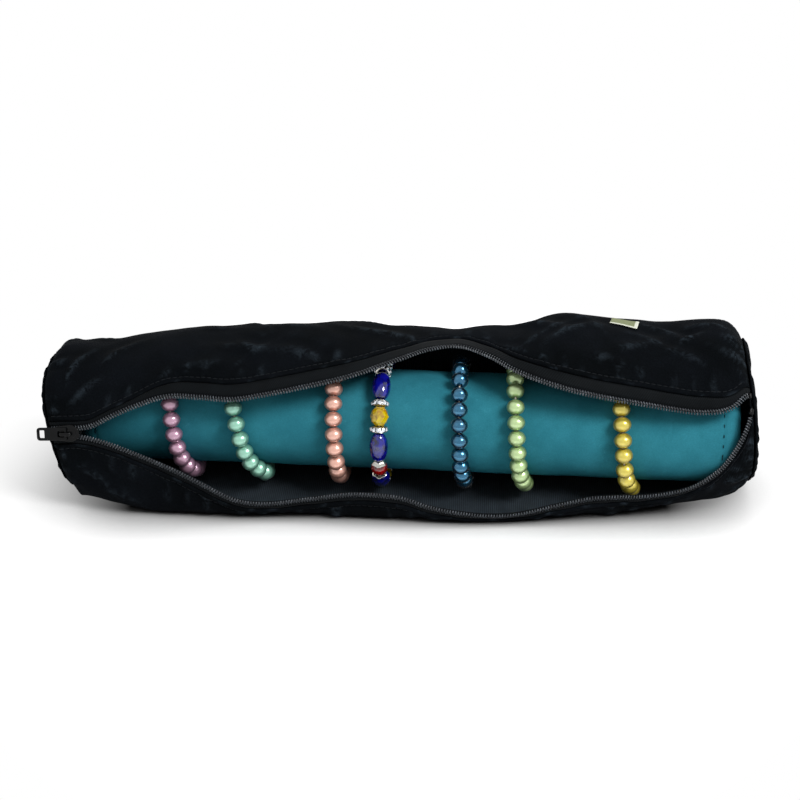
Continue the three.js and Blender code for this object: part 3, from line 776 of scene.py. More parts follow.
@dataclass
class Skin:
    """Outer skin of the bag: at each x, a section of two half super-ellipses, cut flat at the floor.

    The tables are the sizes of the section and the two lips of the mouth at stations along the bag,
    as in the solids. `wave`, `gather` and `pucker` are heights of the small folds in mm, and `most_lift`
    caps the folds together.
    """

    seam: float = 160.5
    half_length: float = 167.0
    height: float = 76.5
    front_depth: float = 42.0
    back_depth: float = 39.0
    middle_share: float = 0.47
    floor_sag: float = 1.5
    end_rounding: float = 15.0
    rounding_power: float = 2.4
    front_rounding: float = 0.4
    coil_edge: float = 1.6
    tape_shown: float = 5.4
    lower_tape_share: float = 0.3
    fit_gap: float = 0.3
    slider_from_seam: float = 11.0
    pocket_half: float = 9.0
    pocket_degrees: float = 45.0
    wave: float = 0.17
    gather: float = 0.34
    pucker: float = 0.17
    most_lift: float = 2.6
    # Bends at which the painted highlight on fold ridges starts, and over which it grows to full
    highlight_from: float = 0.04
    highlight_over: float = 0.22
    probe: float = math.radians(0.5)
    creases: tuple[Crease, ...] = field(default_factory=lambda: SEEN_CREASES + scattered_creases(58))
    buckles: Array | None = None

    def __post_init__(self) -> None:
        """Builds the smooth curves through the tables."""
        stations = [-1, -0.9, -0.78, -0.63, -0.45, -0.24, 0, 0.16, 0.3, 0.45, 0.6, 0.75, 0.87, 1]
        lip_stations = [
            -1, -0.912, -0.882, -0.856, -0.83, -0.78, -0.72, -0.63, -0.54, -0.45, -0.36, -0.24, -0.12, 0,
            0.084, 0.16, 0.24, 0.3, 0.37, 0.45, 0.53, 0.6, 0.66, 0.75, 0.81, 0.87, 0.91, 0.946, 0.964, 1]

        def through(values: Sequence[float], at: Sequence[float] = stations) -> Curve:
            """Smooth curve through a table of this bag."""
            return curve_through(at, values, self.half_length)

        self.height_share = through(
            [0.84, 0.875, 0.905, 0.945, 0.985, 1.013, 1, 0.993, 1.02, 1.085, 1.065, 1.045, 1.06, 1])
        self.front_share = through(
            [0.92, 0.92, 0.93, 0.96, 1.01, 0.985, 1.02, 1.06, 1.05, 0.98, 0.93, 0.9, 0.87, 0.84])
        self.back_share = through([0.95, 0.97, 0.99, 1, 1, 1, 1, 1, 1, 1, 1, 0.99, 0.97, 0.95])
        self.upper_round = through([2.1, 2.1, 2.15, 2.2, 2.2, 2.2, 2.2, 2.1, 2.2, 2.3, 2.3, 2.25, 2.2, 2.1])
        self.lower_round = through([1.9, 2.9, 4.6, 6, 7, 6.3, 7, 7.5, 7, 5.7, 4.3, 2.9, 2.1, 1.9])
        self.lean = through([-0.17, -0.12, -0.04, 0, 0, 0, 0, 0, 0, 0, 0, -0.02, -0.05, -0.08])
        upper = [19, 18.9, 18.9, 19.2, 20.2, 26, 32, 38, 36.5, 34.5, 37.2, 42.8, 50.6, 63.6, 74.5, 78,
                 67, 55.5, 46.2, 39.4, 36, 34.2, 32.6, 30, 28.2, 29, 33.5, 41.5, 43, 44]
        lower = [13, 13.2, 13.3, 12.3, 10.8, 6.4, -0.4, -10.9, -21.3, -30.5, -33.8, -31.7, -27.6, -27.5,
                 -31.5, -33.8, -36.2, -37.2, -37, -35.8, -33.7, -33.7, -34.8, -33.8, -30.2, -17, 0.4, 21,
                 35, 36]
        self.upper_lip = through(np.radians(upper), lip_stations)
        self.lower_lip = through(np.radians(lower), lip_stations)
        self.tape_share = through([0.3, 0.3, 0.7, 1, 1, 0.7, 0.35, 0.3],
                                  [-1, -0.74, -0.66, -0.56, 0.8, 0.9, 0.96, 1])

    def lip(self, edge: Edge) -> Curve:
        """Angle of one lip of the mouth at x."""
        return self.upper_lip if edge is Edge.UPPER else self.lower_lip

    def between_lips(self, x: Array) -> Array:
        """Angle halfway between the two lips."""
        return (self.upper_lip(x) + self.lower_lip(x)) / 2

    def end_share(self, x: Array) -> Array:
        """Share of its full size that the section keeps near the rounded ends."""
        past = np.maximum(np.abs(x) - (self.half_length - self.end_rounding), 0) / self.end_rounding
        return np.maximum(1 - past ** self.rounding_power, 1e-9) ** (1 / self.rounding_power)

    def pocket(self, x: Array, angle: Array) -> Array:
        """Depth of the smooth hollow that the slider presses into the front, in mm."""
        place = -self.seam + self.slider_from_seam
        along = np.abs(x - place + 3) / self.pocket_half
        lip = float(self.upper_lip(np.array(place)))
        away = np.arccos(np.cos(angle - lip)) / math.radians(self.pocket_degrees)
        inside = (along < 1) & (away < 1)
        depth = np.cos(along * np.pi / 2) ** 2 * np.cos(away * np.pi / 2) ** 2
        return np.where(inside, depth, 0.0)

    def drawn_in(self, x: Array, angle: Array) -> tuple[Array, Array]:
        """How far the sewn ends are drawn in: along the bag, and towards its axis, both in mm."""
        def pulls(*spots: tuple[float, float, float]) -> Array:
            """Sum of bells round the end: each has a depth in mm, a direction in degrees and a width."""
            return sum(depth * bell(turned_from(angle, degrees) / wide) for depth, degrees, wide in spots)

        left, right = bell((x + self.seam) / 7), bell((self.seam - x) / 12)
        along = left * pulls((4.0, -5, 0.8), (3.0, -48, 0.5), (2.2, 100, 0.6)) - right * pulls((1.5, 70, 0.6))
        inwards = right * pulls((4.2, -52, 0.6)) - bell((self.seam - 8 - x) / 9) * pulls((2.0, 95, 0.5))
        return along, inwards

    def velvet_edge(self, x: Array, edge: Edge) -> Array:
        """Distance from a coil's middle to the velvet's folded edge."""
        share = self.tape_share(x) if edge is Edge.UPPER else self.lower_tape_share + 0 * x
        return self.coil_edge + self.tape_shown * share + self.fit_gap

    def upper_edge(self, x: Array) -> Array:
        """Angle of the velvet's edge above the mouth."""
        return self.angle_along(x, self.upper_lip(x), self.velvet_edge(x, Edge.UPPER))

    def lower_edge(self, x: Array) -> Array:
        """Angle of the velvet's edge below the mouth, counted on over the top and round the back."""
        return self.angle_along(x, self.lower_lip(x), -self.velvet_edge(x, Edge.LOWER)) + 2 * np.pi

    def angle_along(self, x: Array, angle: Array, distance: Array | float) -> Array:
        """Angle that lies a distance in mm round the section from another, upwards when positive."""
        step = self.plain(x, angle + self.probe) - self.plain(x, angle)
        return angle + distance * self.probe / np.linalg.norm(step, axis=-1)

    def plain(self, x: Array, angle: Array, inset: float = 0.0) -> Array:
        """Point of the skin as the solids have it, without folds and with its ends not drawn in."""
        return self.point(x, angle, inset, False, False)

    def folds(self, x: Array, angle: Array) -> Array:
        """Lift of the velvet over the smooth skin: creases, broad waves, gathers and the simulated buckles.

        Args:
            x: places along the bag in mm.
            angle: angles round it in radians.

        Returns:
            Lift in mm, which fades out towards the zip.
        """
        start = self.upper_edge(x)
        span = self.lower_edge(x) - start
        past = np.mod(angle - start, 2 * np.pi)
        from_zip = FOLD_RADIUS * np.minimum(past, span - past)
        to_seam = self.seam - np.abs(x)
        draw = np.random.default_rng(7)
        waves = np.zeros_like(angle)
        for _ in range(16):
            length, turns, phase = draw.uniform(30, 110), draw.integers(-4, 5), draw.uniform(0, 2 * np.pi)
            waves = waves + self.wave * np.sin(2 * np.pi * x / length + turns * angle + phase)
        gathers = self.gather * sum(np.cos(count * angle + draw.uniform(0, 2 * np.pi) + 0.03 * x)
                                    for count in (13, 19, 26, 34))
        gathers = gathers * bell((to_seam - 3.5) / 8) * ease((to_seam + 1.5) / 3)
        puckers = self.pucker * sum(np.sin(2 * np.pi * x / length + draw.uniform(0, 2 * np.pi))
                                    for length in (8.5, 11.5, 15.5, 21.0))
        puckers = puckers * bell((from_zip - 5) / 5)
        lift = waves + sum(crease.lift(x, angle) for crease in self.creases)
        if self.buckles is not None:
            lift = lift + sampled(self.buckles, (x + self.seam) / (2 * self.seam), past / span)
        capped = self.most_lift * np.tanh(lift / self.most_lift)
        return (capped * ease(to_seam / 12) + gathers) * ease(from_zip / 11) + puckers * ease(from_zip / 2.5)

    def point(self, x: Array, angle: Array, inset: Array | float = 0.0, folded: bool = True,
              drawn: bool = True) -> Array:
        """Point of the skin.

        The section's radius at an angle is ((|cos|/a)^p + (|sin|/b)^p)^(-1/p) with half axes a and b,
        and its lowest part lies flat on the floor.

        Args:
            x: places along the bag in mm.
            angle: angles round the section in radians, from the front over the top.
            inset: depth below the outer face in mm.
            folded: whether the velvet's folds are added.
            drawn: whether the sewn ends are drawn in along the bag.

        Returns:
            Points in mm, one more axis of 3.
        """
        x, angle, inset = np.broadcast_arrays(np.asarray(x, float), angle, inset)
        height = self.height * self.height_share(x)
        middle = height * self.middle_share
        c, s = np.cos(angle), np.sin(angle)
        depth = np.where(c > 0, self.front_depth * self.front_share(x), self.back_depth * self.back_share(x))
        rise = np.where(s > 0, height - middle, middle + self.floor_sag)
        power = np.where(s > 0, self.upper_round(x), self.lower_round(x))
        kept = self.end_share(x)
        front_kept = np.where(c > 0, kept ** self.front_rounding, kept)
        pull, inwards = self.drawn_in(x, angle) if drawn else (0.0, 0.0)
        lift = self.folds(x, angle) - inwards if folded else 0.0
        a = depth * front_kept - inset - self.pocket(x, angle) + lift
        b = rise * kept - inset + lift
        radius = ((np.abs(c) / a) ** power + (np.abs(s) / b) ** power) ** (-1 / power)
        z = np.maximum(middle + radius * s, np.maximum(inset, 0.02))
        return np.stack([x + pull + self.lean(x) * (z - middle), -radius * c, z], axis=-1)

    def rubbed(self, x: Array, angle: Array) -> Array:
        """Share of painted highlight on the pile, from 0 to 1: the more the skin bends outwards on the ridge
        of a fold.

        Args:
            x: places along the bag as a column.
            angle: angles round it, rows by columns.

        Returns:
            A share for each point.
        """
        lift = self.folds(x, angle)
        along, across = np.gradient(x, axis=0), FOLD_RADIUS * np.gradient(angle, axis=1)
        bend = (np.gradient(np.gradient(lift, axis=0) / along, axis=0) / along
                + np.gradient(np.gradient(lift, axis=1) / across, axis=1) / across)
        return np.clip((-bend - self.highlight_from) / self.highlight_over, 0, 1)


def sampled(table: Array, down: Array, across: Array) -> Array:
    """Values of a table between its points, by smooth cubic weights of the four nearest each way.

    Args:
        table: rows by columns.
        down: place along the rows, from 0 to 1.
        across: place along the columns, from 0 to 1.

    Returns:
        Interpolated values.
    """
    def weights(share: Array, count: int) -> tuple[Array, list[Array]]:
        """First of the four points and their weights, by the Catmull-Rom formula."""
        at = np.clip(share, 0, 1) * (count - 1)
        first = np.clip(np.floor(at).astype(int), 0, count - 2)
        t = at - first
        return first, [
            ((2 - t) * t - 1) * t / 2, ((3 * t - 5) * t * t + 2) / 2,
            ((4 - 3 * t) * t + 1) * t / 2, (t - 1) * t * t / 2]

    rows, columns = table.shape
    i, down_weights = weights(down, rows)
    j, across_weights = weights(across, columns)
    total = np.zeros(np.broadcast(down, across).shape)
    for m, down_weight in enumerate(down_weights):
        for n, across_weight in enumerate(across_weights):
            near = table[np.clip(i + m - 1, 0, rows - 1), np.clip(j + n - 1, 0, columns - 1)]
            total = total + near * down_weight * across_weight
    return total


@dataclass(frozen=True)
class Buckling:
    """Cloth simulation of the bag's velvet: the cloth is a little larger than the skin, held at the zip
    and the end seams and lightly to its stuffed shape, so it buckles into soft wrinkles."""

    rows: int = 150
    columns: int = 96
    frames: int = 24
    spare: float = 0.018
    grip: float = 0.08
    edge_grip: float = 0.4
    unevenness: float = 0.15
    mass: float = 0.15
    stiffness: float = 18.0
    shear: float = 9.0
    bending: float = 0.35
    smoothing: int = 4
    most: float = 1.1

    def run(self, skin: Skin) -> Array:
        """Runs the simulation and reads how far each point moved outwards.

        Args:
            skin: the smooth skin, whose folds are left out.

        Returns:
            Lift in mm at rows along the bag and columns round it, capped at `most`.
        """
        x = np.linspace(-skin.seam, skin.seam, self.rows)[:, None]
        share = np.linspace(0, 1, self.columns)[None, :]
        angle = skin.upper_edge(x) * (1 - share) + skin.lower_edge(x) * share
        rest = skin.plain(x, angle)
        outwards = unit(rest - skin.plain(x, angle, 1.0))
        uneven = np.random.default_rng(11).uniform(-self.unevenness, self.unevenness, angle.shape)
        mesh = bpy.data.meshes.new("buckling")
        start = (rest + outwards * uneven[..., None]) * MM
        mesh.from_pydata(start.reshape(-1, 3).tolist(), [], grid_faces(self.rows, self.columns).tolist())
        cloth = bpy.data.objects.new("buckling", mesh)
        bpy.context.scene.collection.objects.link(cloth)
        held = cloth.vertex_groups.new(name="held")
        border = np.minimum.reduce(np.broadcast_arrays(
            np.arange(self.rows)[:, None], np.arange(self.rows)[::-1][:, None],
            np.arange(self.columns)[None, :], np.arange(self.columns)[None, ::-1]))
        on_floor = rest[..., 2] < 0.2
        grip = np.where((border == 0) | on_floor, 1.0, np.where(border < 3, self.edge_grip, self.grip))
        for value in np.unique(grip):
            held.add(np.flatnonzero(grip.ravel() == value).tolist(), float(value), "REPLACE")
        modifier = cloth.modifiers.new("cloth", "CLOTH")
        settings = modifier.settings
        settings.quality = 6
        settings.mass = self.mass
        settings.tension_stiffness = settings.compression_stiffness = self.stiffness
        settings.shear_stiffness = self.shear
        settings.bending_stiffness = self.bending
        settings.shrink_min = settings.shrink_max = -self.spare
        settings.vertex_group_mass = "held"
        settings.effector_weights.gravity = 0.0
        modifier.collision_settings.use_collision = False
        modifier.point_cache.frame_start, modifier.point_cache.frame_end = 1, self.frames
        scene = bpy.context.scene
        for step in range(1, self.frames + 1):
            scene.frame_set(step)
        moved = np.zeros(self.rows * self.columns * 3, np.float32)
        done = cloth.evaluated_get(bpy.context.evaluated_depsgraph_get()).to_mesh()
        done.vertices.foreach_get("co", moved)
        bpy.data.objects.remove(cloth)
        bpy.data.meshes.remove(mesh)
        scene.frame_set(1)
        shift = moved.reshape(rest.shape) / MM - rest
        lift = np.einsum("ijk,ijk->ij", shift, outwards)
        for _ in range(self.smoothing):
            lift[1:-1] = (lift[:-2] + 2 * lift[1:-1] + lift[2:]) / 4
            lift[:, 1:-1] = (lift[:, :-2] + 2 * lift[:, 1:-1] + lift[:, 2:]) / 4
        log.info("buckling: from %.2f to %.2f mm, %.2f on average", lift.min(), lift.max(), lift.mean())
        return self.most * np.tanh(lift / self.most)


class Track:
    """Line on the bag's skin, with three directions at each point: along it, across it and out."""

    samples = 2400

    def __init__(self, skin: Skin, angle: Curve, start: float, end: float, inset: float = 0.0,
                 folded: bool = False) -> None:
        """Samples the line.

        Args:
            skin: the bag's skin.
            angle: the line's angle round the bag at x.
            start: x of its start in mm.
            end: x of its end in mm.
            inset: depth below the outer face in mm.
            folded: whether it follows the velvet's folds.
        """
        x = np.linspace(start, end, self.samples)
        a = angle(x)
        place = skin.point(x, a, inset, folded)
        along = unit(np.gradient(place, axis=0))
        up = skin.point(x, a + skin.probe, inset, folded) - skin.point(x, a - skin.probe, inset, folded)
        out = unit(np.cross(along, up))
        self.table = np.concatenate([place, along, np.cross(out, along), out], axis=1)
        steps = np.linalg.norm(np.diff(place, axis=0), axis=1)
        self.distance = np.concatenate([[0.0], np.cumsum(steps)])

    @property
    def length(self) -> float:
        """Length of the line in mm."""
        return float(self.distance[-1])

    def at(self, distance: Array) -> list[Array]:
        """Place, along, across and out at distances along the line, n by 3 each."""
        columns = [np.interp(distance, self.distance, column) for column in self.table.T]
        return np.split(np.stack(columns, axis=1), 4, axis=1)


# The bag

LABEL_LENGTH = 13.0

# Profile of a stitch: rows of (along, radius) as shares of its length and its radius
STITCH = np.array([[-0.5, 0.45], [-0.3, 0.95], [0.3, 0.95], [0.5, 0.45]])


@dataclass
class Bag:
    """The velvet bag: panel, lining, end discs, label, zip tapes, coils, stops and stitches."""

    skin: Skin
    finishes: dict[str, Material]
    velvet_wall: float = 1.2
    lining_inset: float = 1.5
    lining_wall: float = 0.4
    hem_round: float = 0.6
    stitch_line: float = 2.3
    stitch_pitch: float = 2.7
    coil_half_width: float = 1.3
    coil_half_height: float = 0.7
    coil_inset: float = 0.5
    filament: float = 0.25
    pitch: float = 1.27
    coil_end: float = 1.3
    topstitch_end: float = 2.5
    end_bulge: float = 6.2
    left_bulge_share: float = 0.15
    right_bulge_share: float = 0.5
    end_gap: float = 0.3
    end_sides: int = 168
    end_rings: int = 34
    label_share: float = 0.615
    label_degrees: float = 96.0
    label_width: float = 8.0
    label_tilt: float = -13.0
    label_rise: float = 1.6

    def stations(self, steps: int) -> Array:
        """Places along the bag in mm, closer together towards the end seams, as a column."""
        near = np.array([0, 0.25, 0.6, 1.1, 1.8, 2.8, 4.0, 5.4])
        seam = self.skin.seam
        inner = np.linspace(-seam + 6.8, seam - 6.8, steps)
        return np.concatenate([-seam + near, inner, seam - near[::-1]])[:, None]

    def round_angles(self, x: Array, steps: int, near: Sequence[float]) -> tuple[Array, Array]:
        """Angles round the bag from the upper velvet edge to the lower one, closer together at both.

        Args:
            x: places along the bag, as a column.
            steps: angles between the two hems.
            near: distances from an edge in mm at which a hem is sampled.

        Returns:
            The angles, and each one's distance from its edge in mm, 99 between the hems.
        """
        e = np.array(near)[None, :]
        upper = self.skin.angle_along(x, self.skin.upper_edge(x), e)
        lower = self.skin.angle_along(x, self.skin.lower_edge(x), -e[:, ::-1])
        share = (np.arange(steps) + 1)[None, :] / (steps + 1)
        inner = upper[:, -1:] * (1 - share) + lower[:, :1] * share
        away = np.full_like(inner, 99.0)
        wide = np.broadcast_to(e, upper.shape)
        return (np.concatenate([upper, inner, lower], axis=1),
                np.concatenate([wide, away, wide[:, ::-1]], axis=1))

    def panel(self) -> None:
        """The velvet body: the folded skin as a wall with rolled hems and a stitched groove."""
        x = self.stations(316)
        near = (0, 0.08, 0.25, 0.6, 1.1, 1.6, 2.0, 2.3, 2.6, 3.1, 3.9, 5.0, 6.6)
        angle, e = self.round_angles(x, 96, near)
        past = np.clip(1 - e / self.hem_round, 0, 1)
        rolled = self.hem_round * (1 - np.sqrt(1 - past ** 2))
        groove = 0.4 * bell((e - self.stitch_line) / 0.4) - 0.22 * bell((e - 1.2) / 0.7)
        at_seam = 0.4 * np.clip(1 - (self.skin.seam - np.abs(x)) / 1.2, 0, 1) ** 2
        outer = self.skin.point(x, angle, rolled + groove + at_seam)
        inner = self.skin.point(x, angle, self.velvet_wall - rolled - at_seam)
        # The outer face gets painted highlight along the ridges of its folds
        wall = shell(outer, inner, highlight_share=self.skin.rubbed(x, angle))
        made = piece("velvet_panel", [wall], self.finishes["black_velvet"], "bag",
                     ["body_panel"])

    def lining(self) -> None:
        """The smooth lining: it follows the velvet from inside, with small pleats near the mouth."""
        x = self.stations(230)
        angle, e = self.round_angles(x, 64, (0, 0.5, 1.2, 2.2, 3.6, 5.4, 7.5, 10, 13))
        from_edge = np.where(e > 90, 14.0, e)
        pleats = 0.3 * (1 + np.sin(x / 1.55 + 0.8 * np.sin(x / 9))) * bell((from_edge - 4) / 7)
        waves = 0.12 * (1 + np.sin(x / 4.1 + 3 * angle) * np.sin(angle * 7 + x / 17))
        inset = self.lining_inset + (pleats + waves) * ease(e / 3)
        outer = self.skin.point(x, angle, inset)
        inner = self.skin.point(x, angle, inset + self.lining_wall)
        run = np.broadcast_to(x, angle.shape)
        uv = np.stack([run, angle * FOLD_RADIUS], axis=-1) * MM
        made = piece("lining", [shell(outer, inner, uv)], self.finishes["lining"], "bag",
                     ["body_lining"])

    def end(self, side: int, lining: bool) -> None:
        """Domed end disc: rings of the bag's end section, shrunk towards its middle and puffed out.

        The dome is sqrt(1 - r^2) over the share r of the rim. Puckers run in from the seam.

        Args:
            side: -1 for the left end, 1 for the right.
            lining: whether it is the lining's disc.
        """
        skin = self.skin
        station = side * skin.seam
        angle = circle(self.end_sides)[None, :]
        rim = skin.point(np.full_like(angle, station), angle, 2.8 if lining else 0.3)
        middle = skin.height * float(skin.height_share(np.array(station))) * skin.middle_share
        lean = float(skin.lean(np.array(station)))
        pull = rim[..., 0] - station - lean * (rim[..., 2] - middle)
        share = np.sin(np.linspace(0, np.pi / 2, self.end_rings))[:, None]
        y = rim[..., 1] * share
        z = middle + (rim[..., 2] - middle) * share
        bulge_share = self.left_bulge_share if side < 0 else self.right_bulge_share
        bulge = (self.end_bulge - self.velvet_wall) * bulge_share
        dome = bulge * np.sqrt(1 - np.minimum(share, 1) ** 2)
        draw = np.random.default_rng(5 + side)
        puckers = 0.16 * sum(np.cos(count * angle + draw.uniform(0, 2 * np.pi))
                             for count in (11, 17, 23, 31, 43))
        puffed = puckers * bell((share - 0.93) / 0.14) * ease((1 - share) / 0.03)
        sag = sum(0.22 * np.sin(draw.uniform(0.09, 0.2) * y + draw.uniform(0.09, 0.2) * z
                                + draw.uniform(0, 2 * np.pi)) for _ in range(5))
        puffed = puffed + sag * ease((1 - share) / 0.3)
        if lining:
            seat, wall, round_off = skin.seam - self.lining_wall, self.lining_wall, 0.0
            puffed = np.minimum(puffed, 0.2)
        else:
            seat, wall = skin.seam + self.end_gap, self.velvet_wall
            round_off = 0.35 * bell((1 - share) / 0.03)
        inner_out = seat + dome + (puffed if lining else np.minimum(puffed, 0) * 0.5) + round_off
        outer_out = seat + dome + wall + puffed - round_off

        def placed(out: Array) -> Array:
            """Rings at a distance out along the bag, leaning with the end."""
            return np.stack([side * out + lean * (z - middle) + pull * share, y, z], axis=-1)

        word = "left" if side < 0 else "right"
        name = f"lining_end_{word}" if lining else f"velvet_end_{word}"
        node = f"{word}_end_lining" if lining else f"{word}_end_panel"
        finish = self.finishes["lining" if lining else "black_velvet"]
        made = piece(name, [lens(placed(outer_out), placed(inner_out))], finish, "bag",
                     [node])

    def label(self) -> None:
        """The blank label: a small slightly curled rectangle that follows the folded velvet."""
        skin = self.skin
        middle = self.label_share * skin.half_length
        u = np.linspace(0, LABEL_LENGTH, 36)[:, None]
        v = np.linspace(0, self.label_width, 22)[None, :]
        tilt = math.radians(self.label_tilt)
        off_u, off_v = u - LABEL_LENGTH / 2, v - self.label_width / 2
        x = middle + off_u * math.cos(tilt) - off_v * math.sin(tilt)
        up = off_v * math.cos(tilt) + off_u * math.sin(tilt) + self.label_rise
        angle = skin.angle_along(x, math.radians(self.label_degrees) + 0 * x, up)
        from_edge = np.minimum(np.minimum(u, LABEL_LENGTH - u), np.minimum(v, self.label_width - v))
        curl = 0.25 * bell((LABEL_LENGTH - u) / 2.5) + 0.18 * bell(v / 1.5)
        rolled = 0.2 * np.clip(1 - from_edge / 0.4, 0, 1) ** 2
        low = skin.point(x, angle, -0.32 - curl - rolled)
        high = skin.point(x, angle, -0.8 - curl + rolled)
        uv = np.stack([u + 0 * v, v + 0 * u], axis=-1) * MM
        made = piece("label", [shell(high, low, uv)], self.finishes["label"], "bag",
                     ["blank_label"])

    def tape(self, edge: Edge) -> None:
        """One zip tape: a band from under the coil to under the velvet, dipping below both.

        Its distance from the coil's middle goes in four straight runs over the share of its width: under
        the coil, in the open, down below the velvet's edge, and under the velvet.

        Args:
            edge: the mouth's edge that it is on.
        """
        skin = self.skin
        x = self.stations(250)
        hem = skin.velvet_edge(x, edge)
        shown, dips = self.coil_half_width + 0.45, hem - 0.55
        share = np.array([0, 0.1, 0.2, 0.28, 0.34, 0.42, 0.52, 0.62, 0.7, 0.76, 0.8, 0.86, 0.93, 1])[None, :]
        d = np.where(share <= 0.34, share / 0.34 * shown, shown + (share - 0.34) / 0.36 * (dips - shown))
        d = np.where(share <= 0.7, d, dips + (share - 0.7) / 0.1 * 0.5)
        d = np.where(share <= 0.8, d, hem - 0.05 + (share - 0.8) / 0.2 * 4.2)
        under_coil = ease((shown - d) / 0.5)
        under_velvet = ease((d - dips) / 0.5)
        ripple = 0.1 * np.sin(x / 2.6) * (1 - under_coil) * (1 - under_velvet)
        face = 0.55 + 0.72 * np.maximum(under_coil, under_velvet) + ripple
        wall = 0.5 - 0.26 * under_velvet
        angle = skin.angle_along(x, skin.lip(edge)(x), edge.value * d)
        uv = np.stack([np.broadcast_to(x, d.shape), d], axis=-1) * MM
        body = shell(skin.point(x, angle, face, False), skin.point(x, angle, face + wall, False), uv)
        made = piece(f"tape_{edge.word}", [body], self.finishes["tape"], "bag",
                     [f"{edge.word}_zip_tape"])

    def coil(self, edge: Edge) -> None:
        """One zip coil: a flattened helix of nylon filament, and the row of stitches that holds it.

        A turn of the helix is an ellipse across the coil. The filament is thicker on the mouth's side,
        where the turns interlock.

        Args:
            edge: the mouth's edge that it is on.
        """
        end = self.skin.seam - self.coil_end
        track = Track(self.skin, self.skin.lip(edge), -end, end, self.coil_inset)
        turns = int(track.length / self.pitch)
        phase = np.linspace(0, 2 * np.pi * turns, turns * 12 + 1)
        skew = 0.3 * np.sin(phase)
        place, _, across, out = track.at(track.length * (phase + skew) / phase[-1])
        wide, high = self.coil_half_width - self.filament, self.coil_half_height - self.filament
        c, s = np.cos(phase)[:, None], np.sin(phase)[:, None]
        centre = place + edge.value * across * wide * c + out * high * s
        radial = unit(edge.value * across * c / wide + out * s / high)
        radius = self.filament * (1 + 0.25 * np.clip(-c[:, 0], 0, 1) ** 3)
        piece(f"coil_{edge.word}", [tube(centre, radius, 6, radial)], self.finishes["nylon"], "bag",
              [f"{edge.word}_zip_coil"])
        place, along, across, out = track.at((np.arange(turns - 1) + 0.75) * self.pitch)
        lifted = place + out * (self.coil_half_height + 0.02)
        stitches = turned(lifted, unit(along + 0.25 * across), out, STITCH * np.array([0.95, 0.17]), 6)
        piece(f"coil_stitches_{edge.word}", [stitches], self.finishes["thread"], "bag")

    def topstitches(self, edge: Edge) -> None:
        """The row of stitches along a velvet hem, sunk in its groove.

        Args:
            edge: the mouth's edge that the hem is on.
        """
        skin = self.skin
        hem = skin.upper_edge if edge is Edge.UPPER else skin.lower_edge

        def angle(x: Array) -> Array:
            """Angle of the stitch line at x."""
            return skin.angle_along(x, hem(x), edge.value * self.stitch_line)

        end = skin.seam - self.topstitch_end
        track = Track(skin, angle, -end, end, 0.32, True)
        count = int(track.length / self.stitch_pitch)
        place, along, _, out = track.at((np.arange(count) + 0.5) * self.stitch_pitch)
        stitches = turned(place, along, out, STITCH * np.array([2.2, 0.22]), 6)
        piece(f"topstitch_{edge.word}", [stitches], self.finishes["thread"], "bag")

    def stop(self, word: str, lip: Curve, start: float, half: float) -> None:
        """A folded metal stop: a rounded band, 1 mm long, round one coil or both.

        Args:
            word: the piece's name and the end of its CAD node's.
            lip: angle that it sits at.
            start: x of its left end in mm.
            half: half its width in mm.
        """
        track = Track(self.skin, lip, start, start + 1, self.coil_inset)
        share = np.array([0, 0.06, 0.2, 0.4, 0.6, 0.8, 0.94, 1.0])
        size = np.array([0.6, 0.85, 1.0, 0.94, 0.94, 1.0, 0.85, 0.6])[:, None, None]
        place, _, across, out = track.at(share * track.length)
        turn = circle(28)[:, None]
        wide = half * squarish(np.cos(turn), 0.5)
        high = self.coil_half_height * squarish(np.sin(turn), 0.6)
        band = stacked(place[:, None] + size * (across[:, None] * wide + out[:, None] * high))
        piece(word, [band], self.finishes["enamel"], "bag", [f"zip_{word}"], sharp=50)

    def build(self) -> None:
        """Builds all the bag's pieces."""
        for side in (-1, 1):
            self.end(side, False)
            self.end(side, True)
        self.panel()
        self.lining()
        self.label()
        for edge in Edge:
            self.coil(edge)
            self.tape(edge)
            self.topstitches(edge)
        for edge in Edge:
            self.stop(f"top_stop_{edge.word}", self.skin.lip(edge), self.skin.seam - 1, self.coil_half_width)
        self.stop("bottom_stop", self.skin.between_lips, -self.skin.seam, 2 * self.coil_half_width)


# Slider and pull tab

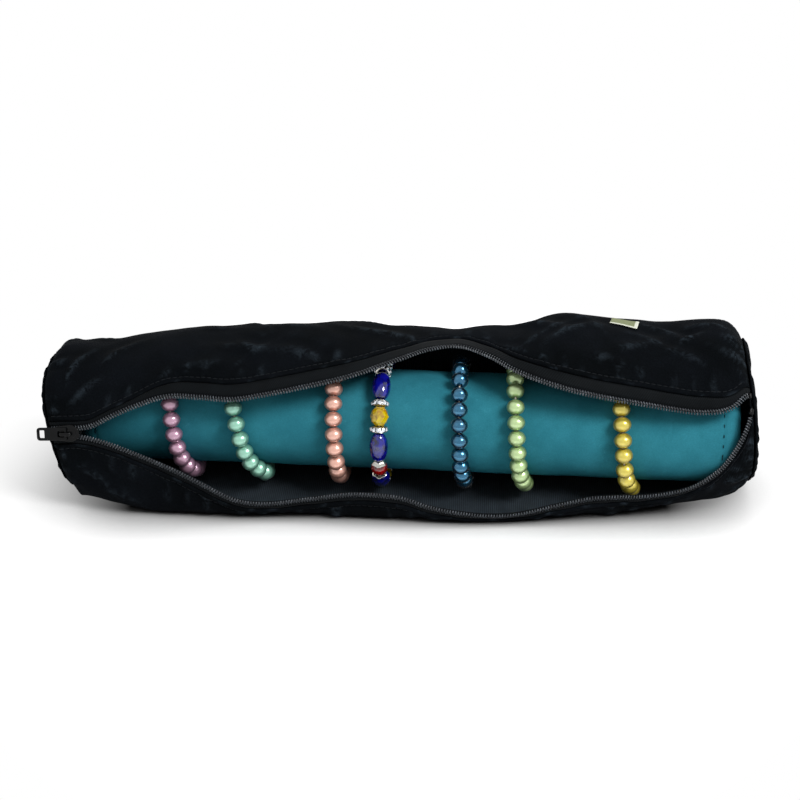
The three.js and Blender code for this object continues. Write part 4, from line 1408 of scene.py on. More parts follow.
@dataclass
class Slider:
    """The zip's slider and its pull tab, in their own frame: X along the zip, Y across it, Z out."""

    skin: Skin
    finishes: dict[str, Material]
    length: float = 12.3
    width: float = 8.0
    tail: float = 6.0
    plate: float = 0.8
    channel: float = 1.2
    from_seam: float = 11.0
    neck: tuple[float, float] = (1.2, 0.7)
    crown: tuple[float, float, float] = (6.0, 1.6, 0.9)
    tab: tuple[float, float, float] = (13.4, 6.0, 1.1)
    tab_rim: float = 1.2
    tab_corner: float = 1.6
    tab_hole: float = 2.4
    gap: float = 0.3
    bevel: float = 0.25
    shoulder: float = 3.2
    nose_share: float = 0.45
    rail: float = 0.5
    rail_from_tail: float = 1.2
    rail_from_nose: float = 4.0
    rail_reach: float = 0.55
    crown_corner: float = 1.2
    squareness: float = 0.6

    def __post_init__(self) -> None:
        """Works out the slider's own frame, square to the skin where it stands on the coils."""
        x, reach, skin = -self.skin.seam + self.from_seam, self.length / 2, self.skin
        ends = [skin.plain(np.array(at), skin.between_lips(np.array(at)), 0.5)
                for at in (x - reach, x + reach)]
        angle = skin.between_lips(np.array(x))
        along = unit(ends[1] - ends[0])
        up = skin.plain(np.array(x), angle + skin.probe) - skin.plain(np.array(x), angle - skin.probe)
        out = unit(np.cross(along, up))
        self.origin = (ends[0] + ends[1]) / 2
        self.axes = np.stack([along, np.cross(out, along), out])

    def flat_body(self, outlines: Sequence[Sequence[tuple[float, float]]], low: float, high: float,
                  bevel: float) -> Surface:
        """Plate with bevelled edges: flat outlines, the first round it and the rest round its holes.

        Args:
            outlines: closed rows of (x, y) in mm.
            low: height of its lower face.
            high: height of its upper face.
            bevel: radius of its edges.

        Returns:
            The plate in the drawing's frame.
        """
        data = bpy.data.curves.new("outline", "CURVE")
        data.dimensions, data.fill_mode = "2D", "BOTH"
        for outline in outlines:
            spline = data.splines.new("POLY")
            spline.points.add(len(outline) - 1)
            flat = np.array([(x, y, 0.0, 1.0) for x, y in outline], float)
            spline.points.foreach_set("co", flat.ravel())
            spline.use_cyclic_u = True
        data.extrude = (high - low) / 2 - bevel
        data.bevel_depth, data.bevel_resolution, data.offset = bevel, 2, -bevel
        drawn = bpy.data.objects.new("outline", data)
        bpy.context.scene.collection.objects.link(drawn)
        mesh = bpy.data.meshes.new_from_object(drawn.evaluated_get(bpy.context.evaluated_depsgraph_get()))
        points = np.zeros(len(mesh.vertices) * 3)
        mesh.vertices.foreach_get("co", points)
        points = points.reshape(-1, 3) + np.array([0, 0, (low + high) / 2])
        # The caps and the sides come out with points of their own, so equal points are joined
        _, first, same = np.unique(np.round(points, 4), axis=0, return_index=True, return_inverse=True)
        same = same.ravel()
        by_size: dict[int, list] = {}
        for polygon in mesh.polygons:
            corners = list(dict.fromkeys(int(same[v]) for v in polygon.vertices))
            if len(corners) > 2:
                by_size.setdefault(len(corners), []).append(corners)
        bpy.data.objects.remove(drawn)
        bpy.data.curves.remove(data)
        bpy.data.meshes.remove(mesh)
        placed = self.origin + points[first] @ self.axes
        return Surface(placed, [np.array(rows) for rows in by_size.values()]).outward()

    @staticmethod
    def rounded(corners: Sequence[tuple[float, float, float]], steps: int = 6) -> list[tuple[float, float]]:
        """Outline with rounded corners: each (x, y, r) is cut r before and after by a smooth arc.

        Args:
            corners: corners with their radius.
            steps: points in an arc.

        Returns:
            The outline's points.
        """
        outline = []
        count = len(corners)
        for i, (x, y, r) in enumerate(corners):
            here = np.array([x, y])
            before = np.array(corners[i - 1][:2]) - here
            after = np.array(corners[(i + 1) % count][:2]) - here
            start, end = here + unit(before) * r, here + unit(after) * r
            for t in np.linspace(0, 1, steps) if r else [0.5]:
                at = (1 - t) ** 2 * start + 2 * t * (1 - t) * here + t * t * end
                outline.append((float(at[0]), float(at[1])))
        return outline

    @staticmethod
    def mirrored(corners: Sequence[tuple[float, float, float]]) -> list[tuple[float, float, float]]:
        """Corners followed by the same ones on the other side of the X axis, in turn."""
        return [*corners, *((x, -y, r) for x, y, r in reversed(corners))]

    def rails(self, sign: int) -> list[Surface]:
        """The flanges of both plates that turn towards each other along one side.

        Args:
            sign: -1 for the lower side, 1 for the upper.

        Returns:
            The upper plate's flange and the lower plate's.
        """
        start, end = -self.length / 2 + self.rail_from_tail, self.length / 2 - self.rail_from_nose
        at_tail, at_nose, round_off = self.tail / 2 - 0.1, self.width / 2 - 0.25, 0.2
        rail = self.rounded([
            (start, sign * at_tail, round_off), (end, sign * at_nose, round_off),
            (end, sign * (at_nose - self.rail), round_off), (start, sign * (at_tail - self.rail), round_off)])
        deep, sunk = self.channel - self.rail_reach, self.channel + 0.3
        return [self.flat_body([rail[::sign]], low, high, 0.1)
                for low, high in ((deep, sunk), (-sunk, -deep))]

    def body(self) -> None:
        """The slider: two plates with turned flanges, the neck between them, and the tab's crown."""
        half, wide, tail = self.length / 2, self.width / 2, self.tail / 2
        outline = self.rounded(self.mirrored([
            (-half, -tail, 1.6), (half - self.shoulder, -wide, 1.2), (half, -wide * self.nose_share, 1.5)]))
        low, high = self.channel, self.channel + self.plate
        parts = [self.flat_body([outline], low, high, self.bevel),
                 self.flat_body([outline], -high, -low, self.bevel), *self.rails(-1), *self.rails(1)]
        neck_length, neck_width = self.neck
        neck = self.rounded([(half - neck_length - 0.5, 0, 0.3), (half - 0.6, -neck_width / 2, 0.2),
                             (half - 0.4, 0, 0.2), (half - 0.6, neck_width / 2, 0.2)])
        parts.append(self.flat_body([neck], -low - 0.4, low + 0.4, 0.05))
        raised = self.rounded(self.mirrored([(-half + 1.4, -1.7, 1.4), (half - 1.6, -1.9, 1.6)]))
        parts.append(self.flat_body([raised], high - 0.1, high + 0.2, 0.12))
        parts.append(self.bridge(high))
        piece("slider", parts, self.finishes["enamel"], "slider", ["slider_body"], sharp=42)

    def bridge(self, foot: float) -> Surface:
        """The crown: a rounded bar carried along an arch that stands on the upper plate.

        The bar's section is a super-ellipse, and the arch is two quarter turns with a run between.

        Args:
            foot: height of the upper plate's face.

        Returns:
            The arch in the drawing's frame.
        """
        reach, wide, thick = self.crown[0] / 2, self.crown[1] / 2, self.crown[2] / 2
        top = foot + self.tab[2] + 2 * self.gap + thick
        turn = np.linspace(0, np.pi / 2, 8)
        left = np.stack([-reach + thick + self.crown_corner * (1 - np.cos(turn)),
                         top - self.crown_corner * (1 - np.sin(turn))], axis=1)
        right = np.stack([-left[::-1, 0], left[::-1, 1]], axis=1)
        line = np.concatenate([[[-reach + thick, foot - 0.3]], left, right, [[reach - thick, foot - 0.3]]])
        path = np.stack([line[:, 0], np.zeros(len(line)), line[:, 1]], axis=1)
        across = np.array([0.0, 1.0, 0.0])
        normal = np.cross(unit(np.gradient(path, axis=0)), across)[:, None]
        angle = circle(20)[:, None]
        section = (across * wide * squarish(np.cos(angle), self.squareness)
                   + normal * thick * squarish(np.sin(angle), self.squareness))
        return stacked(self.origin + (path[:, None] + section) @ self.axes)

    def pull(self) -> None:
        """The pull tab: a flat plate with the crown's window and a grip hole."""
        length, width, thick = self.tab
        wide, bar = width / 2, thick / 2
        middle = self.channel + self.plate + self.gap + bar
        outline = self.rounded([(bar, -wide, 0.5), (bar, wide, 0.5), (-length, wide, self.tab_corner),
                                (-length, -wide, self.tab_corner)])
        window_half = self.crown[1] / 2 + 2 * self.gap
        window_end = -self.crown[0] / 2 - 2 * self.gap
        window = self.rounded(self.mirrored([(-bar, -window_half, 0.3), (window_end, -window_half, 0.5)]))
        hole_half, hole_end = wide - self.tab_rim, -length + self.tab_rim
        hole = self.rounded(self.mirrored([(hole_end + self.tab_hole, -hole_half, 0.4),
                                           (hole_end, -hole_half, 0.6)]))
        plate = self.flat_body([outline, window, hole], middle - bar, middle + bar, 0.22)
        piece("pull_tab_plate", [plate], self.finishes["enamel"], "pull", ["pull_tab"],
              sharp=50)

    def build(self) -> None:
        """Builds the slider and the pull tab."""
        self.body()
        self.pull()


# Roller

@dataclass
class Roller:
    """The padded roller: a velvet tube with rounded shoulders over wadding on a card core."""

    finishes: dict[str, Material]
    length: float = 298.0
    radius: float = 23.4
    shoulder: float = 5.0
    wall: float = 1.2
    gap: float = 0.3
    padding: float = 6.0
    core: float = 2.0
    plug: float = 8.0
    yaw: float = -2.3
    pitch: float = 0.42
    puff: float = 3.0
    sides: int = 120
    gather_count: int = 29
    seam_degrees: float = 205.0
    seam_depth: float = 0.45
    rim_stitch_step: float = 11.5

    def __post_init__(self) -> None:
        """Works out the roller's turn: first about Z, then about Y."""
        z, y = math.radians(self.yaw), math.radians(self.pitch)
        about_z = np.array([[math.cos(z), -math.sin(z), 0], [math.sin(z), math.cos(z), 0], [0, 0, 1]])
        about_y = np.array([[math.cos(y), 0, math.sin(y)], [0, 1, 0], [-math.sin(y), 0, math.cos(y)]])
        self.turn = about_y @ about_z

    def placed(self, points: Array) -> Array:
        """Points of the roller's own frame, X along its axis, in the drawing's frame."""
        return ROLLER_CENTRE + points @ self.turn.T

    def spun(self, along: Array, radius: Array) -> Array:
        """Rings of points at places along the axis, each with a radius for every angle.

        Args:
            along: places along the axis, n.
            radius: radius at each place and angle, n by sides.

        Returns:
            Points, n by sides by 3, from the front over the top.
        """
        angle = circle(self.sides)
        radius = np.broadcast_to(radius, (len(along), self.sides))
        return self.placed(np.stack([np.broadcast_to(along[:, None], radius.shape),
                                     -radius * np.cos(angle), radius * np.sin(angle)], axis=-1))

    def relief(self, along: Array, angle: Array) -> Array:
        """Small rise and fall of the padded velvet, its back seam and the stitched line near each end."""
        lumps = (0.1 * np.sin(along / 11 + 2 * angle) + 0.08 * np.sin(along / 6.3 - 3 * angle + 1)
                 + 0.06 * np.sin(along / 3.7 + 5 * angle + 2))
        seam = self.seam_depth * bell((angle - math.radians(self.seam_degrees)) / math.radians(1.6))
        ends = 0.3 * bell((np.abs(along) - self.length / 2 + self.shoulder) / 0.5)
        return lumps - 0.05 - seam - ends

    def cover(self) -> None:
        """The velvet cover: a quarter-round shoulder at each end of a tube, as a closed wall."""
        half = self.length / 2
        turn = np.linspace(np.pi / 2, 0, 14)[:-1]
        shoulder_along = half - self.shoulder + (self.shoulder + self.puff) * np.sin(turn)
        shoulder_radius = self.radius - self.shoulder * (1 - np.cos(turn))
        body = np.linspace(-half + self.shoulder, half - self.shoulder, 150)
        near = self.shoulder * np.array([0.06, 0.14])
        body = np.sort(np.concatenate([body, half - self.shoulder - near, -half + self.shoulder + near]))
        along = np.concatenate([-shoulder_along, body, shoulder_along[::-1]])
        radius = np.concatenate([shoulder_radius, np.full(len(body), self.radius), shoulder_radius[::-1]])
        angle = circle(self.sides)[None, :]
        past = np.maximum(np.abs(along)[:, None] - half + self.shoulder, 0) / (self.shoulder + self.puff)
        gathers = 0.22 * np.cos(self.gather_count * angle) * bell((past - 0.65) / 0.3)
        rise = self.relief(along[:, None], angle) * ease((1 - past) / 0.6) - np.abs(gathers) * (past > 0)
        outer = self.spun(along, radius[:, None] + rise)
        inner_radius = np.minimum(radius - 0.4, self.radius - self.wall)[:, None]
        inner = self.spun(along * (half - self.wall) / (half + self.puff), inner_radius)
        wall = stacked(np.concatenate([outer, inner[::-1]]), closed=True)
        made = piece("velvet_cover", [wall], self.finishes["teal_velvet"], "roller",
                     ["roller_cover"])

    def caps(self) -> None:
        """The two velvet discs that close the roller's ends, dished, with gathers at the rim."""
        outer_radius = self.radius - self.shoulder - self.gap
        share = np.sin(np.linspace(0, np.pi / 2, 18))
        angle = circle(self.sides)[None, :]
        for side, word in ((-1, "left"), (1, "right")):
            gathers = 0.12 * np.cos(self.gather_count * angle) * share[:, None] ** 4
            dish = 0.5 * bell(share / 0.5)[:, None] + gathers
            rim = 0.45 * bell((1 - share) / 0.05)[:, None]
            high = self.length / 2 + self.puff - dish * 0.8 - rim
            low = self.length / 2 + self.puff - self.wall + rim + 0 * angle
            radius = (share * outer_radius)[:, None] + 0 * angle
            faces = [self.placed(np.stack([side * out, -radius * np.cos(angle), radius * np.sin(angle)],
                                          axis=-1)) for out in (high, low)]
            made = piece(f"velvet_cap_{word}", [lens(*faces)], self.finishes["teal_velvet"], "roller",
                         [f"{word}_roller_cap"])

    def rim_stitches(self) -> None:
        """The sparse stitches that show along the seam near each end of the cover."""
        angle = np.radians(np.arange(0, 360, self.rim_stitch_step))
        zero, c, s = 0 * angle, np.cos(angle), np.sin(angle)
        sunk = self.radius - 0.05
        ends = [np.stack([zero + sign * (self.length / 2 - self.shoulder), -c * sunk, s * sunk], axis=1)
                for sign in (-1, 1)]
        along = np.stack([zero, s, c], axis=1) @ self.turn.T
        out = np.stack([zero, -c, s], axis=1) @ self.turn.T
        stitches = turned(self.placed(np.concatenate(ends)), np.tile(along, (2, 1)), np.tile(out, (2, 1)),
                          STITCH * np.array([1.5, 0.28]), 6)
        piece("rim_stitches", [stitches], self.finishes["teal_thread"], "roller")

    def ring_body(self, name: str, inner: float, outer: float, start: float, end: float,
                  finish: str, node: str, uneven: float) -> bpy.types.Object:
        """A tube or disc about the axis with softened edges and a slightly uneven face.

        Args:
            name: the piece's name.
            inner: inner radius, 0 for a disc.
            outer: outer radius.
            start: place of one end along the axis.
            end: place of the other end.
            finish: the name of its finish.
            node: the CAD node that it stands for.
            uneven: height of the unevenness in mm.

        Returns:
            The piece.
        """
        soft = 0.35
        run = np.concatenate([[start, start + soft], np.linspace(start + 1.5, end - 1.5, 60),
                              [end - soft, end]])
        cut = np.zeros(len(run))
        cut[[0, -1]] = soft
        angle = circle(self.sides)[None, :]
        wave = uneven * (np.sin(run[:, None] / 3.1 + 3 * angle) * np.sin(run[:, None] / 7.7 - 5 * angle)
                         + 0.5 * np.sin(run[:, None] / 1.7 + 9 * angle)) - uneven
        hull = self.spun(run, outer - cut[:, None] + wave)
        if inner:
            bore = self.spun(run, inner + cut[:, None])
            body = stacked(np.concatenate([hull, bore[::-1]]), closed=True)
        else:
            body = stacked(hull)
        return piece(name, [body], self.finishes[finish], "roller", [node], sharp=50)

    def build(self) -> None:
        """Builds the roller's pieces."""
        half = self.length / 2 - self.shoulder
        pad_outer = self.radius - self.wall - self.gap
        pad_inner = pad_outer - self.padding
        core_outer = pad_inner - self.gap
        core_inner = core_outer - self.core
        wadding = self.ring_body("wadding", pad_inner, pad_outer, -half, half, "wadding",
                                 "roller_padding", 0.12)
        self.ring_body("card_core", core_inner, core_outer, -half, half, "card",
                       "roller_core", 0.04)
        for side, word in ((-1, "left"), (1, "right")):
            ends = sorted((side * (half - self.plug), side * half))
            self.ring_body(f"card_plug_{word}", 0.0, core_inner - self.gap, ends[0], ends[1],
                           "card", f"{word}_core_plug", 0.04)
        self.cover()
        self.caps()
        self.rim_stitches()


# Bracelets

class Charm(Enum):
    """Kinds of bead on the mixed glass bracelet, with the length that each takes on the cord in mm."""

    OLIVE = 14.4
    CRYSTAL = 8.6
    RONDELLE = 2.9
    CAP = 1.9
    ROUND = 7.6


@dataclass
class Bracelet:
    """A stretch bracelet on the roller: beads on an elastic cord, in a leaning ring.

    The beads are a little wider than long: `widen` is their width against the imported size. The ring
    hangs to the right below the roller: `sweep` adds a bell-shaped shift there.
    """

    name: str
    roller: Roller
    share: float
    bead: float
    tilt: float
    anchor: float
    sweep: float = 0.0
    sweep_at: float = -64.0
    sweep_width: float = 28.0
    hole: float = 0.45
    swell: float = 1.04
    flat_share: float = 0.94
    widen: float = 1.08
    slack: float = 1.0
    gap_after: int = 2
    samples: int = 1441

    def ring(self) -> tuple[Array, Array]:
        """The cord's closed line, going down from the anchor's angle.

        Returns:
            Points of the line in the roller's frame, and the distance along it, `samples` of each.
        """
        degrees = self.anchor - np.linspace(0, 360, self.samples)
        angle = np.radians(degrees)
        tilt = math.radians(self.tilt)
        centre = self.roller.radius / math.cos(tilt) + self.roller.gap + self.bead / 2
        y, z = -centre * np.cos(angle), centre * np.sin(angle)
        away = np.mod(degrees - self.sweep_at + 180, 360) - 180
        x = self.share * self.roller.length - z * math.sin(tilt) + self.sweep * bell(away / self.sweep_width)
        line = np.stack([x, y, z * math.cos(tilt)], axis=1)
        steps = np.linalg.norm(np.diff(line, axis=0), axis=1)
        return line, np.concatenate([[0.0], np.cumsum(steps)])

    def at(self, distance: Array) -> tuple[Array, Array, Array]:
        """Place, direction along the cord and direction out from the roller at distances along the cord."""
        line, run = self.ring()
        place = np.stack([np.interp(distance, run, column) for column in line.T], axis=1)
        slope = np.gradient(line, run, axis=0)
        axis = unit(np.stack([np.interp(distance, run, column) for column in slope.T], axis=1))
        out = place * np.array([0.0, 1.0, 1.0])
        out = unit(out - axis * np.sum(out * axis, axis=1, keepdims=True))
        turn = self.roller.turn.T
        return self.roller.placed(place), axis @ turn, out @ turn

    def sphere_profile(self, radius: float, half: float, rows: int = 15) -> Array:
        """Profile of a drilled bead, half its length by its radius: an arc closed by the hole's wall."""
        start = math.asin(self.hole / radius)
        turn = np.linspace(start, np.pi - start, rows)
        return np.stack([-half * np.cos(turn), radius * np.sin(turn)], axis=1)

    def cord(self) -> None:
        """The elastic cord through all the beads, which shows in the gap between two of them."""
        _, run = self.ring()
        place, _, out = self.at(np.linspace(0, run[-1], 121)[:-1])
        made = tube(place, self.hole - 0.08, 8, out, closed=True)
        piece(f"{self.name}_cord", [made], self.roller.finishes["elastic"], self.name)

    def build(self) -> None:
        """Builds the cord and the beads, which touch along it but for one gap, from the anchor down."""
        _, run = self.ring()
        radius = self.bead / 2 * self.swell
        count = round((run[-1] - self.slack) / (2 * radius * self.flat_share))
        pitch = (run[-1] - self.slack) / count
        index = np.arange(count)
        place, axis, out = self.at((index + 0.5) * pitch + self.slack * (index >= self.gap_after))
        beads = turned(place, axis, out, self.sphere_profile(radius * self.widen, pitch / 2), 24, closed=True)
        piece(f"{self.name}_pearls", [beads], self.roller.finishes[self.name], self.name,
              [f"bracelet_{self.name}"])
        self.cord()


# Profiles of the glass bracelet's settings and stones: rows of (along, radius) in mm
WHEEL = np.array([[-1.35, 1.2], [-1.45, 2.8], [-1.2, 3.5], [-0.7, 3.2], [0.7, 3.2], [1.2, 3.5],
                  [1.45, 2.8], [1.35, 1.2]])
CUP = np.array([[-0.9, 0.7], [-0.9, 1.9], [-0.2, 3.0], [0.9, 3.7], [1.0, 3.45], [0.1, 2.7], [-0.5, 0.7]])
STONE = np.array([[-0.6, 0.4], [0.1, 1.15], [0.45, 0.95], [0.75, 0.5]])


@dataclass
class MixedBracelet(Bracelet):
    """The glass bracelet: cobalt olives, yellow crystals and red rounds between metal rondelles and caps.

    Each rondelle has a ring of `stones` set `stone_at` mm from its axis.
    """

    stones: int = 9
    stone_at: float = 3.45

    order: tuple[Charm, ...] = (
        Charm.OLIVE, Charm.RONDELLE, Charm.CRYSTAL, Charm.RONDELLE, Charm.OLIVE, Charm.CAP, Charm.ROUND,
        Charm.CAP)

    def places(self) -> dict[Charm, tuple[Array, Array, Array]]:
        """Where each kind of bead goes: the pattern repeated from the anchor, then rondelles up to it."""
        _, run = self.ring()
        found: dict[Charm, list[float]] = {charm: [] for charm in Charm}
        used, index = 0.0, 0
        while True:
            charm = self.order[index % len(self.order)]
            if used + charm.value > run[-1]:
                break
            found[charm].append(used + charm.value / 2)
            used, index = used + charm.value, index + 1
        spare = run[-1] - used
        closing = int(spare / Charm.RONDELLE.value)
        found[Charm.RONDELLE] += [used + (number + 0.5) * spare / closing for number in range(closing)]
        return {charm: self.at(np.array(middles)) for charm, middles in found.items()}

    def build(self) -> None:
        """Builds all the beads of the mixed bracelet and its cord."""
        places, finishes = self.places(), self.roller.finishes
        radius = self.bead / 2
        turn = np.linspace(0.14, np.pi - 0.14, 22)
        half = Charm.OLIVE.value / 2
        olive = np.stack([-half * np.cos(turn), radius * np.sin(turn) ** 0.8], axis=1)
        piece("glass_olives", [turned(*places[Charm.OLIVE], olive, 32, closed=True)], finishes["cobalt"],
              self.name, ["bracelet_glass"])
        half = Charm.CRYSTAL.value / 2
        cone = np.array([[-half, 0.5], [-half, 2.0], [-0.62 * half, 3.5]])
        crystal = np.concatenate([cone, [[0, radius]], cone[::-1] * (-1, 1)])
        twist = np.array([0, 0, 0.5, 0, 0.5, 0, 0])
        piece("glass_crystals", [turned(*places[Charm.CRYSTAL], crystal, 9, True, twist)],
              finishes["yellow_crystal"], self.name, sharp=8)
        piece("glass_rounds", [turned(*places[Charm.ROUND], self.sphere_profile(3.8, 3.8), 24, closed=True)],
              finishes["red_glass"], self.name)
        place_cap, axis_cap, out_cap = places[Charm.CAP]
        toward = np.where(np.arange(len(place_cap)) % 2 == 0, 1.0, -1.0)[:, None]
        metal = [turned(*places[Charm.RONDELLE], WHEEL, 30, closed=True),
                 turned(place_cap, axis_cap * toward, out_cap, CUP, 36, closed=True, petals=6)]
        piece("glass_settings", metal, finishes["silver"], self.name, sharp=40)
        place, axis, out = (np.repeat(rows, self.stones, axis=0) for rows in places[Charm.RONDELLE])
        angle = np.tile(circle(self.stones), len(places[Charm.RONDELLE][0]))[:, None]
        ray = out * np.cos(angle) + np.cross(axis, out) * np.sin(angle)
        stones = turned(place + ray * self.stone_at, ray, axis, STONE, 8, twist=np.array([0, 0, 0.5, 0]))
        piece("glass_stones", [stones], finishes["stone"], self.name, sharp=8)
        self.cord()


# Studio

@dataclass
class Studio:
    """Camera, lights, floor and surroundings of a product photograph on white."""

    elevation: float = 27.0
    azimuth: float = 2.0
    distance: float = 850.0
    pixels_per_mm: float = 2.13
    picture: int = 800
    aim: tuple[float, float, float] = (-0.7, 0.0, 42.7)
    lit_height: float = 0.04
    room: float = 0.38
    table_half: float = 3.0
    table_drop: float = -2e-5
    paper: float = 0.8
    contact_reach: float = 60.0
    contact_grey: float = 0.9
    contact_gamma: float = 1.7

    def camera(self) -> None:
        """Places the camera: its sight line meets `aim`, and its lens gives the photograph's scale there."""
        a, e = math.radians(self.azimuth), math.radians(self.elevation)
        back = Vector((math.sin(a) * math.cos(e), -math.cos(a) * math.cos(e), math.sin(e)))
        right = Vector((math.cos(a), math.sin(a), 0))
        up = back.cross(right)
        data = bpy.data.cameras.new("camera")
        data.sensor_width = 36.0
        data.lens = self.pixels_per_mm * self.distance * data.sensor_width / self.picture
        data.clip_start, data.clip_end = 0.05, 20
        made = bpy.data.objects.new("camera", data)
        place = Vector(to_row(np.array(self.aim))) + back * self.distance * MM
        made.matrix_world = Matrix.Translation(place) @ Matrix((right, up, back)).transposed().to_4x4()
        bpy.context.scene.collection.objects.link(made)
        bpy.context.scene.camera = made

    def lamp(self, name: str, place: tuple[float, float, float], size: tuple[float, float],
             watts: float) -> None:
        """Puts up a soft lamp that faces the roll.

        Args:
            name: the lamp's name.
            place: where it hangs, in metres.
            size: its width and height in metres.
            watts: its power.
        """
        data = bpy.data.lights.new(name, "AREA")
        data.shape, data.energy = "RECTANGLE", watts
        data.size, data.size_y = size
        made = bpy.data.objects.new(name, data)
        toward = Vector((0, 0, self.lit_height)) - Vector(place)
        made.location = place
        made.rotation_mode = "QUATERNION"
        made.rotation_quaternion = toward.to_track_quat("-Z", "Y")
        bpy.context.scene.collection.objects.link(made)

    @staticmethod
    def clear_rays(tree: bpy.types.NodeTree) -> bpy.types.NodeSocket:
        """Socket that is 1 for rays from the camera, and for those that gloss or glass sends on."""
        rays = add(tree, "LightPath")
        sent_on = add(tree, "Math", {"operation": "MAXIMUM"},
                      {0: rays.outputs["Is Glossy Ray"], 1: rays.outputs["Is Transmission Ray"]})
        return add(tree, "Math", {"operation": "MAXIMUM"},
                   {0: rays.outputs["Is Camera Ray"], 1: sent_on}).outputs["Value"]

    def floor(self) -> None:
        """The white table: it takes the roll's soft shadow near it and is plain white further out."""
        half = self.table_half
        corners = [(x, y, self.table_drop)
                   for x, y in ((-half, -half), (half, -half), (half, half), (-half, half))]
        mesh = bpy.data.meshes.new("table")
        mesh.from_pydata(corners, [], [(0, 1, 2, 3)])
        table = bpy.data.objects.new("table", mesh)
        bpy.context.scene.collection.objects.link(table)
        made = bpy.data.materials.new("white_acrylic")
        made.use_nodes = True
        tree = made.node_tree
        tree.nodes.clear()
        paper = add(tree, "BsdfDiffuse", {"Color": grey(self.paper)})
        # Contact shade: how open each place is to the room within this distance
        contact = add(tree, "AmbientOcclusion", {"Distance": self.contact_reach * MM,
                                                 "Color": grey(self.contact_grey)})
        shade = add(tree, "Gamma", {"Gamma": self.contact_gamma}, {"Color": contact})
        bright = add(tree, "BsdfDiffuse", {}, {"Color": shade})
        lit = add(tree, "AddShader", {}, {0: bright, 1: bright})
        white = add(tree, "Emission", {"Color": grey(1.0), "Strength": 1.0})
        at = add(tree, "TexCoord")
        squeezed = add(tree, "Mapping", {"Scale": (4.0, 3.4, 1.0), "Location": (0.0, 0.08, 0.0)},
                       {"Vector": at.outputs["Object"]})
        away = add(tree, "TexGradient", {"gradient_type": "SPHERICAL"}, {"Vector": squeezed})
        near = add(tree, "ValToRGB", {"stops": [(0.15, grey(1.0)), (0.5, grey(0.0))]},
                   {"Fac": away.outputs["Fac"]})
        seen = add(tree, "MixShader", {}, {0: near, 1: lit, 2: white})
        chosen = add(tree, "MixShader", {}, {0: self.clear_rays(tree), 1: paper, 2: seen})
        add(tree, "OutputMaterial", {}, {"Surface": chosen})
        mesh.materials.append(made)

    def surroundings(self) -> None:
        """A pale room: white to the camera and in reflections, dimmer as a light."""
        world = bpy.data.worlds.new("room")
        bpy.context.scene.world = world
        world.use_nodes = True
        tree = world.node_tree
        tree.nodes.clear()
        room = add(tree, "Background", {"Color": grey(1.0), "Strength": self.room})
        white = add(tree, "Background", {"Color": grey(1.0), "Strength": 1.0})
        chosen = add(tree, "MixShader", {}, {0: self.clear_rays(tree), 1: room, 2: white})
        add(tree, "OutputWorld", {}, {"Surface": chosen})

    def build(self) -> None:
        """Sets up the whole studio."""
        self.camera()
        self.lamp("key", (0.95, -0.78, 1.3), (0.6, 0.6), 27.5)
        self.lamp("fill", (-0.9, -0.8, 1.1), (1.0, 1.0), 0.8)
        self.lamp("back", (0.2, 1.2, 1.2), (1.0, 1.0), 5)
        self.floor()
        self.surroundings()
        bpy.context.scene.view_settings.view_transform = "Standard"


# The whole roll

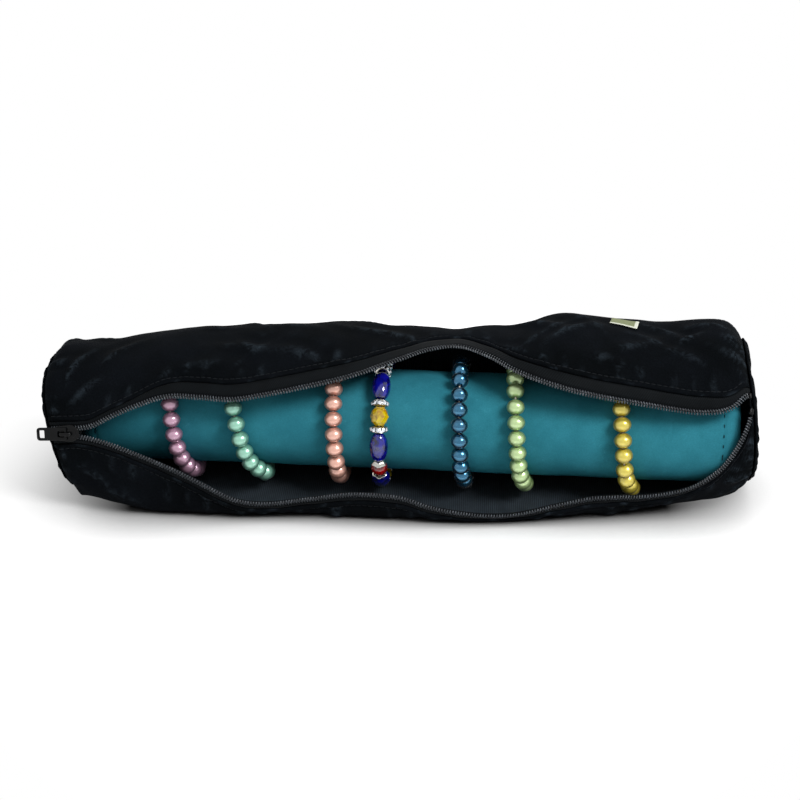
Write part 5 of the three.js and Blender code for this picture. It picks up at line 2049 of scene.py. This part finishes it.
def make_finishes() -> dict[str, Material]:
    """Makes every material of the roll once.

    Returns:
        The materials by short names.
    """
    finishes = {
        # The black velvet has painted highlight along its fold ridges
        "black_velvet": Velvet("black_velvet", rubbed=True),
        "teal_velvet": Velvet("teal_velvet", deep="29707f", lean="2f7a89", crush_and_highlight="3f8c9b", sheen=0.08,
                              patch=14, streak=3.5, grain=0.6, contrast=0.09, streak_from=0.64,
                              streak_share=0.5, bump=0.15),
        "lining": Woven("lining_taffeta", dark="1c2227", light="323a41", rib=0.9, shine=0.5),
        "tape": Woven("zip_tape_twill", dark="07090b", light="101417", rib=0.9, slant=32, shine=0.6,
                      gloss=0.04),
        "nylon": Moulded("coil_nylon", colour="34383d", wear_and_highlight="5c6269", gloss=(0.2, 0.3), shine=0.5),
        "thread": Moulded("sewing_thread", colour="121518", wear_and_highlight="1c2024", gloss=(0.5, 0.65), shine=0.1,
                          mottle=0.8),
        "enamel": Moulded("black_enamel", colour="050607", wear_and_highlight="0b0c0d", gloss=(0.14, 0.24), shine=0.16),
        "label": Damask("label_damask"),
        "teal_thread": Moulded("teal_thread", colour="0c2a30", wear_and_highlight="12363d", gloss=(0.5, 0.65), shine=0.1,
                               mottle=0.8),
        "wadding": Fibrous("polyester_wadding", colour="e4e0d6", dark="c7c1b3", fibre=1.6),
        "card": Fibrous("grey_card", colour="a98c66", dark="86694a", fibre=0.9),
        # Each pearl's rim colour holds painted shade
        "lilac": Pearl("lilac_pearl", face="bb92a9", rim="744c66"),
        "mint": Pearl("mint_pearl", face="92cab3", rim="458470"),
        "peach": Pearl("peach_pearl", face="e2ae9c", rim="a06a5a"),
        "blue": Pearl("blue_metallic_pearl", face="1f6485", rim="06283c", metal=0.85, gloss=0.2),
        "green": Pearl("pale_green_pearl", face="b8d296", rim="6c8a4c"),
        "yellow": Pearl("yellow_pearl", face="d3c24e", rim="8e7a1a"),
        "cobalt": Glass("cobalt_glass", colour="10139a", deep="06083e", clear=0.25),
        "yellow_crystal": Glass("yellow_crystal", colour="e6cc00", deep="b48600", clear=0.25, index=1.58),
        "red_glass": Glass("red_glass", colour="b01414", deep="6d0808", clear=0.4),
        "silver": Moulded("plated_silver", colour="b9b8b2", wear_and_highlight="8b8982", gloss=(0.18, 0.3), metal=1.0),
        "stone": Moulded("foiled_crystal", colour="dfe3e8", wear_and_highlight="b8bec6", gloss=(0.04, 0.1), metal=0.85),
        "elastic": Moulded("clear_elastic", colour="d9d2c4", wear_and_highlight="c7bfae", gloss=(0.3, 0.4)),
    }
    return {key: finish.material() for key, finish in finishes.items()}


def make_bracelets(roller: Roller) -> list[Bracelet]:
    """The seven bracelets from left to right, with the places that the photograph gives them.

    Args:
        roller: the roller that they are on.

    Returns:
        The bracelets.
    """
    return [
        Bracelet("lilac", roller, -0.3564, 7.4, 9, 40.8, sweep=2.0, gap_after=9),
        Bracelet("mint", roller, -0.2537, 7.4, 14, 39.5, sweep=3.2, sweep_at=-58, sweep_width=24,
                 gap_after=9),
        Bracelet("peach", roller, -0.1091, 7.4, 3, 17.5),
        MixedBracelet("glass", roller, -0.0403, 8.6, 0, 73.5),
        Bracelet("blue", roller, 0.0836, 7.2, 3, 93.0, sweep=1.2),
        Bracelet("green", roller, 0.1718, 7.4, 5, 83.0, sweep=2.0),
        Bracelet("yellow", roller, 0.3332, 7.4, 6, 23.5, sweep=3.0, sweep_at=-62, sweep_width=26),
    ]


def main() -> None:
    """Builds the whole roll and its studio."""
    logging.basicConfig(level=logging.INFO, format="%(message)s")
    Studio().build()
    finishes = make_finishes()
    skin = Skin()
    skin.buckles = Buckling().run(Skin())
    roller = Roller(finishes)
    for assembly in (Bag(skin, finishes), Slider(skin, finishes), roller, *make_bracelets(roller)):
        assembly.build()


if __name__ == "__main__":
    main()
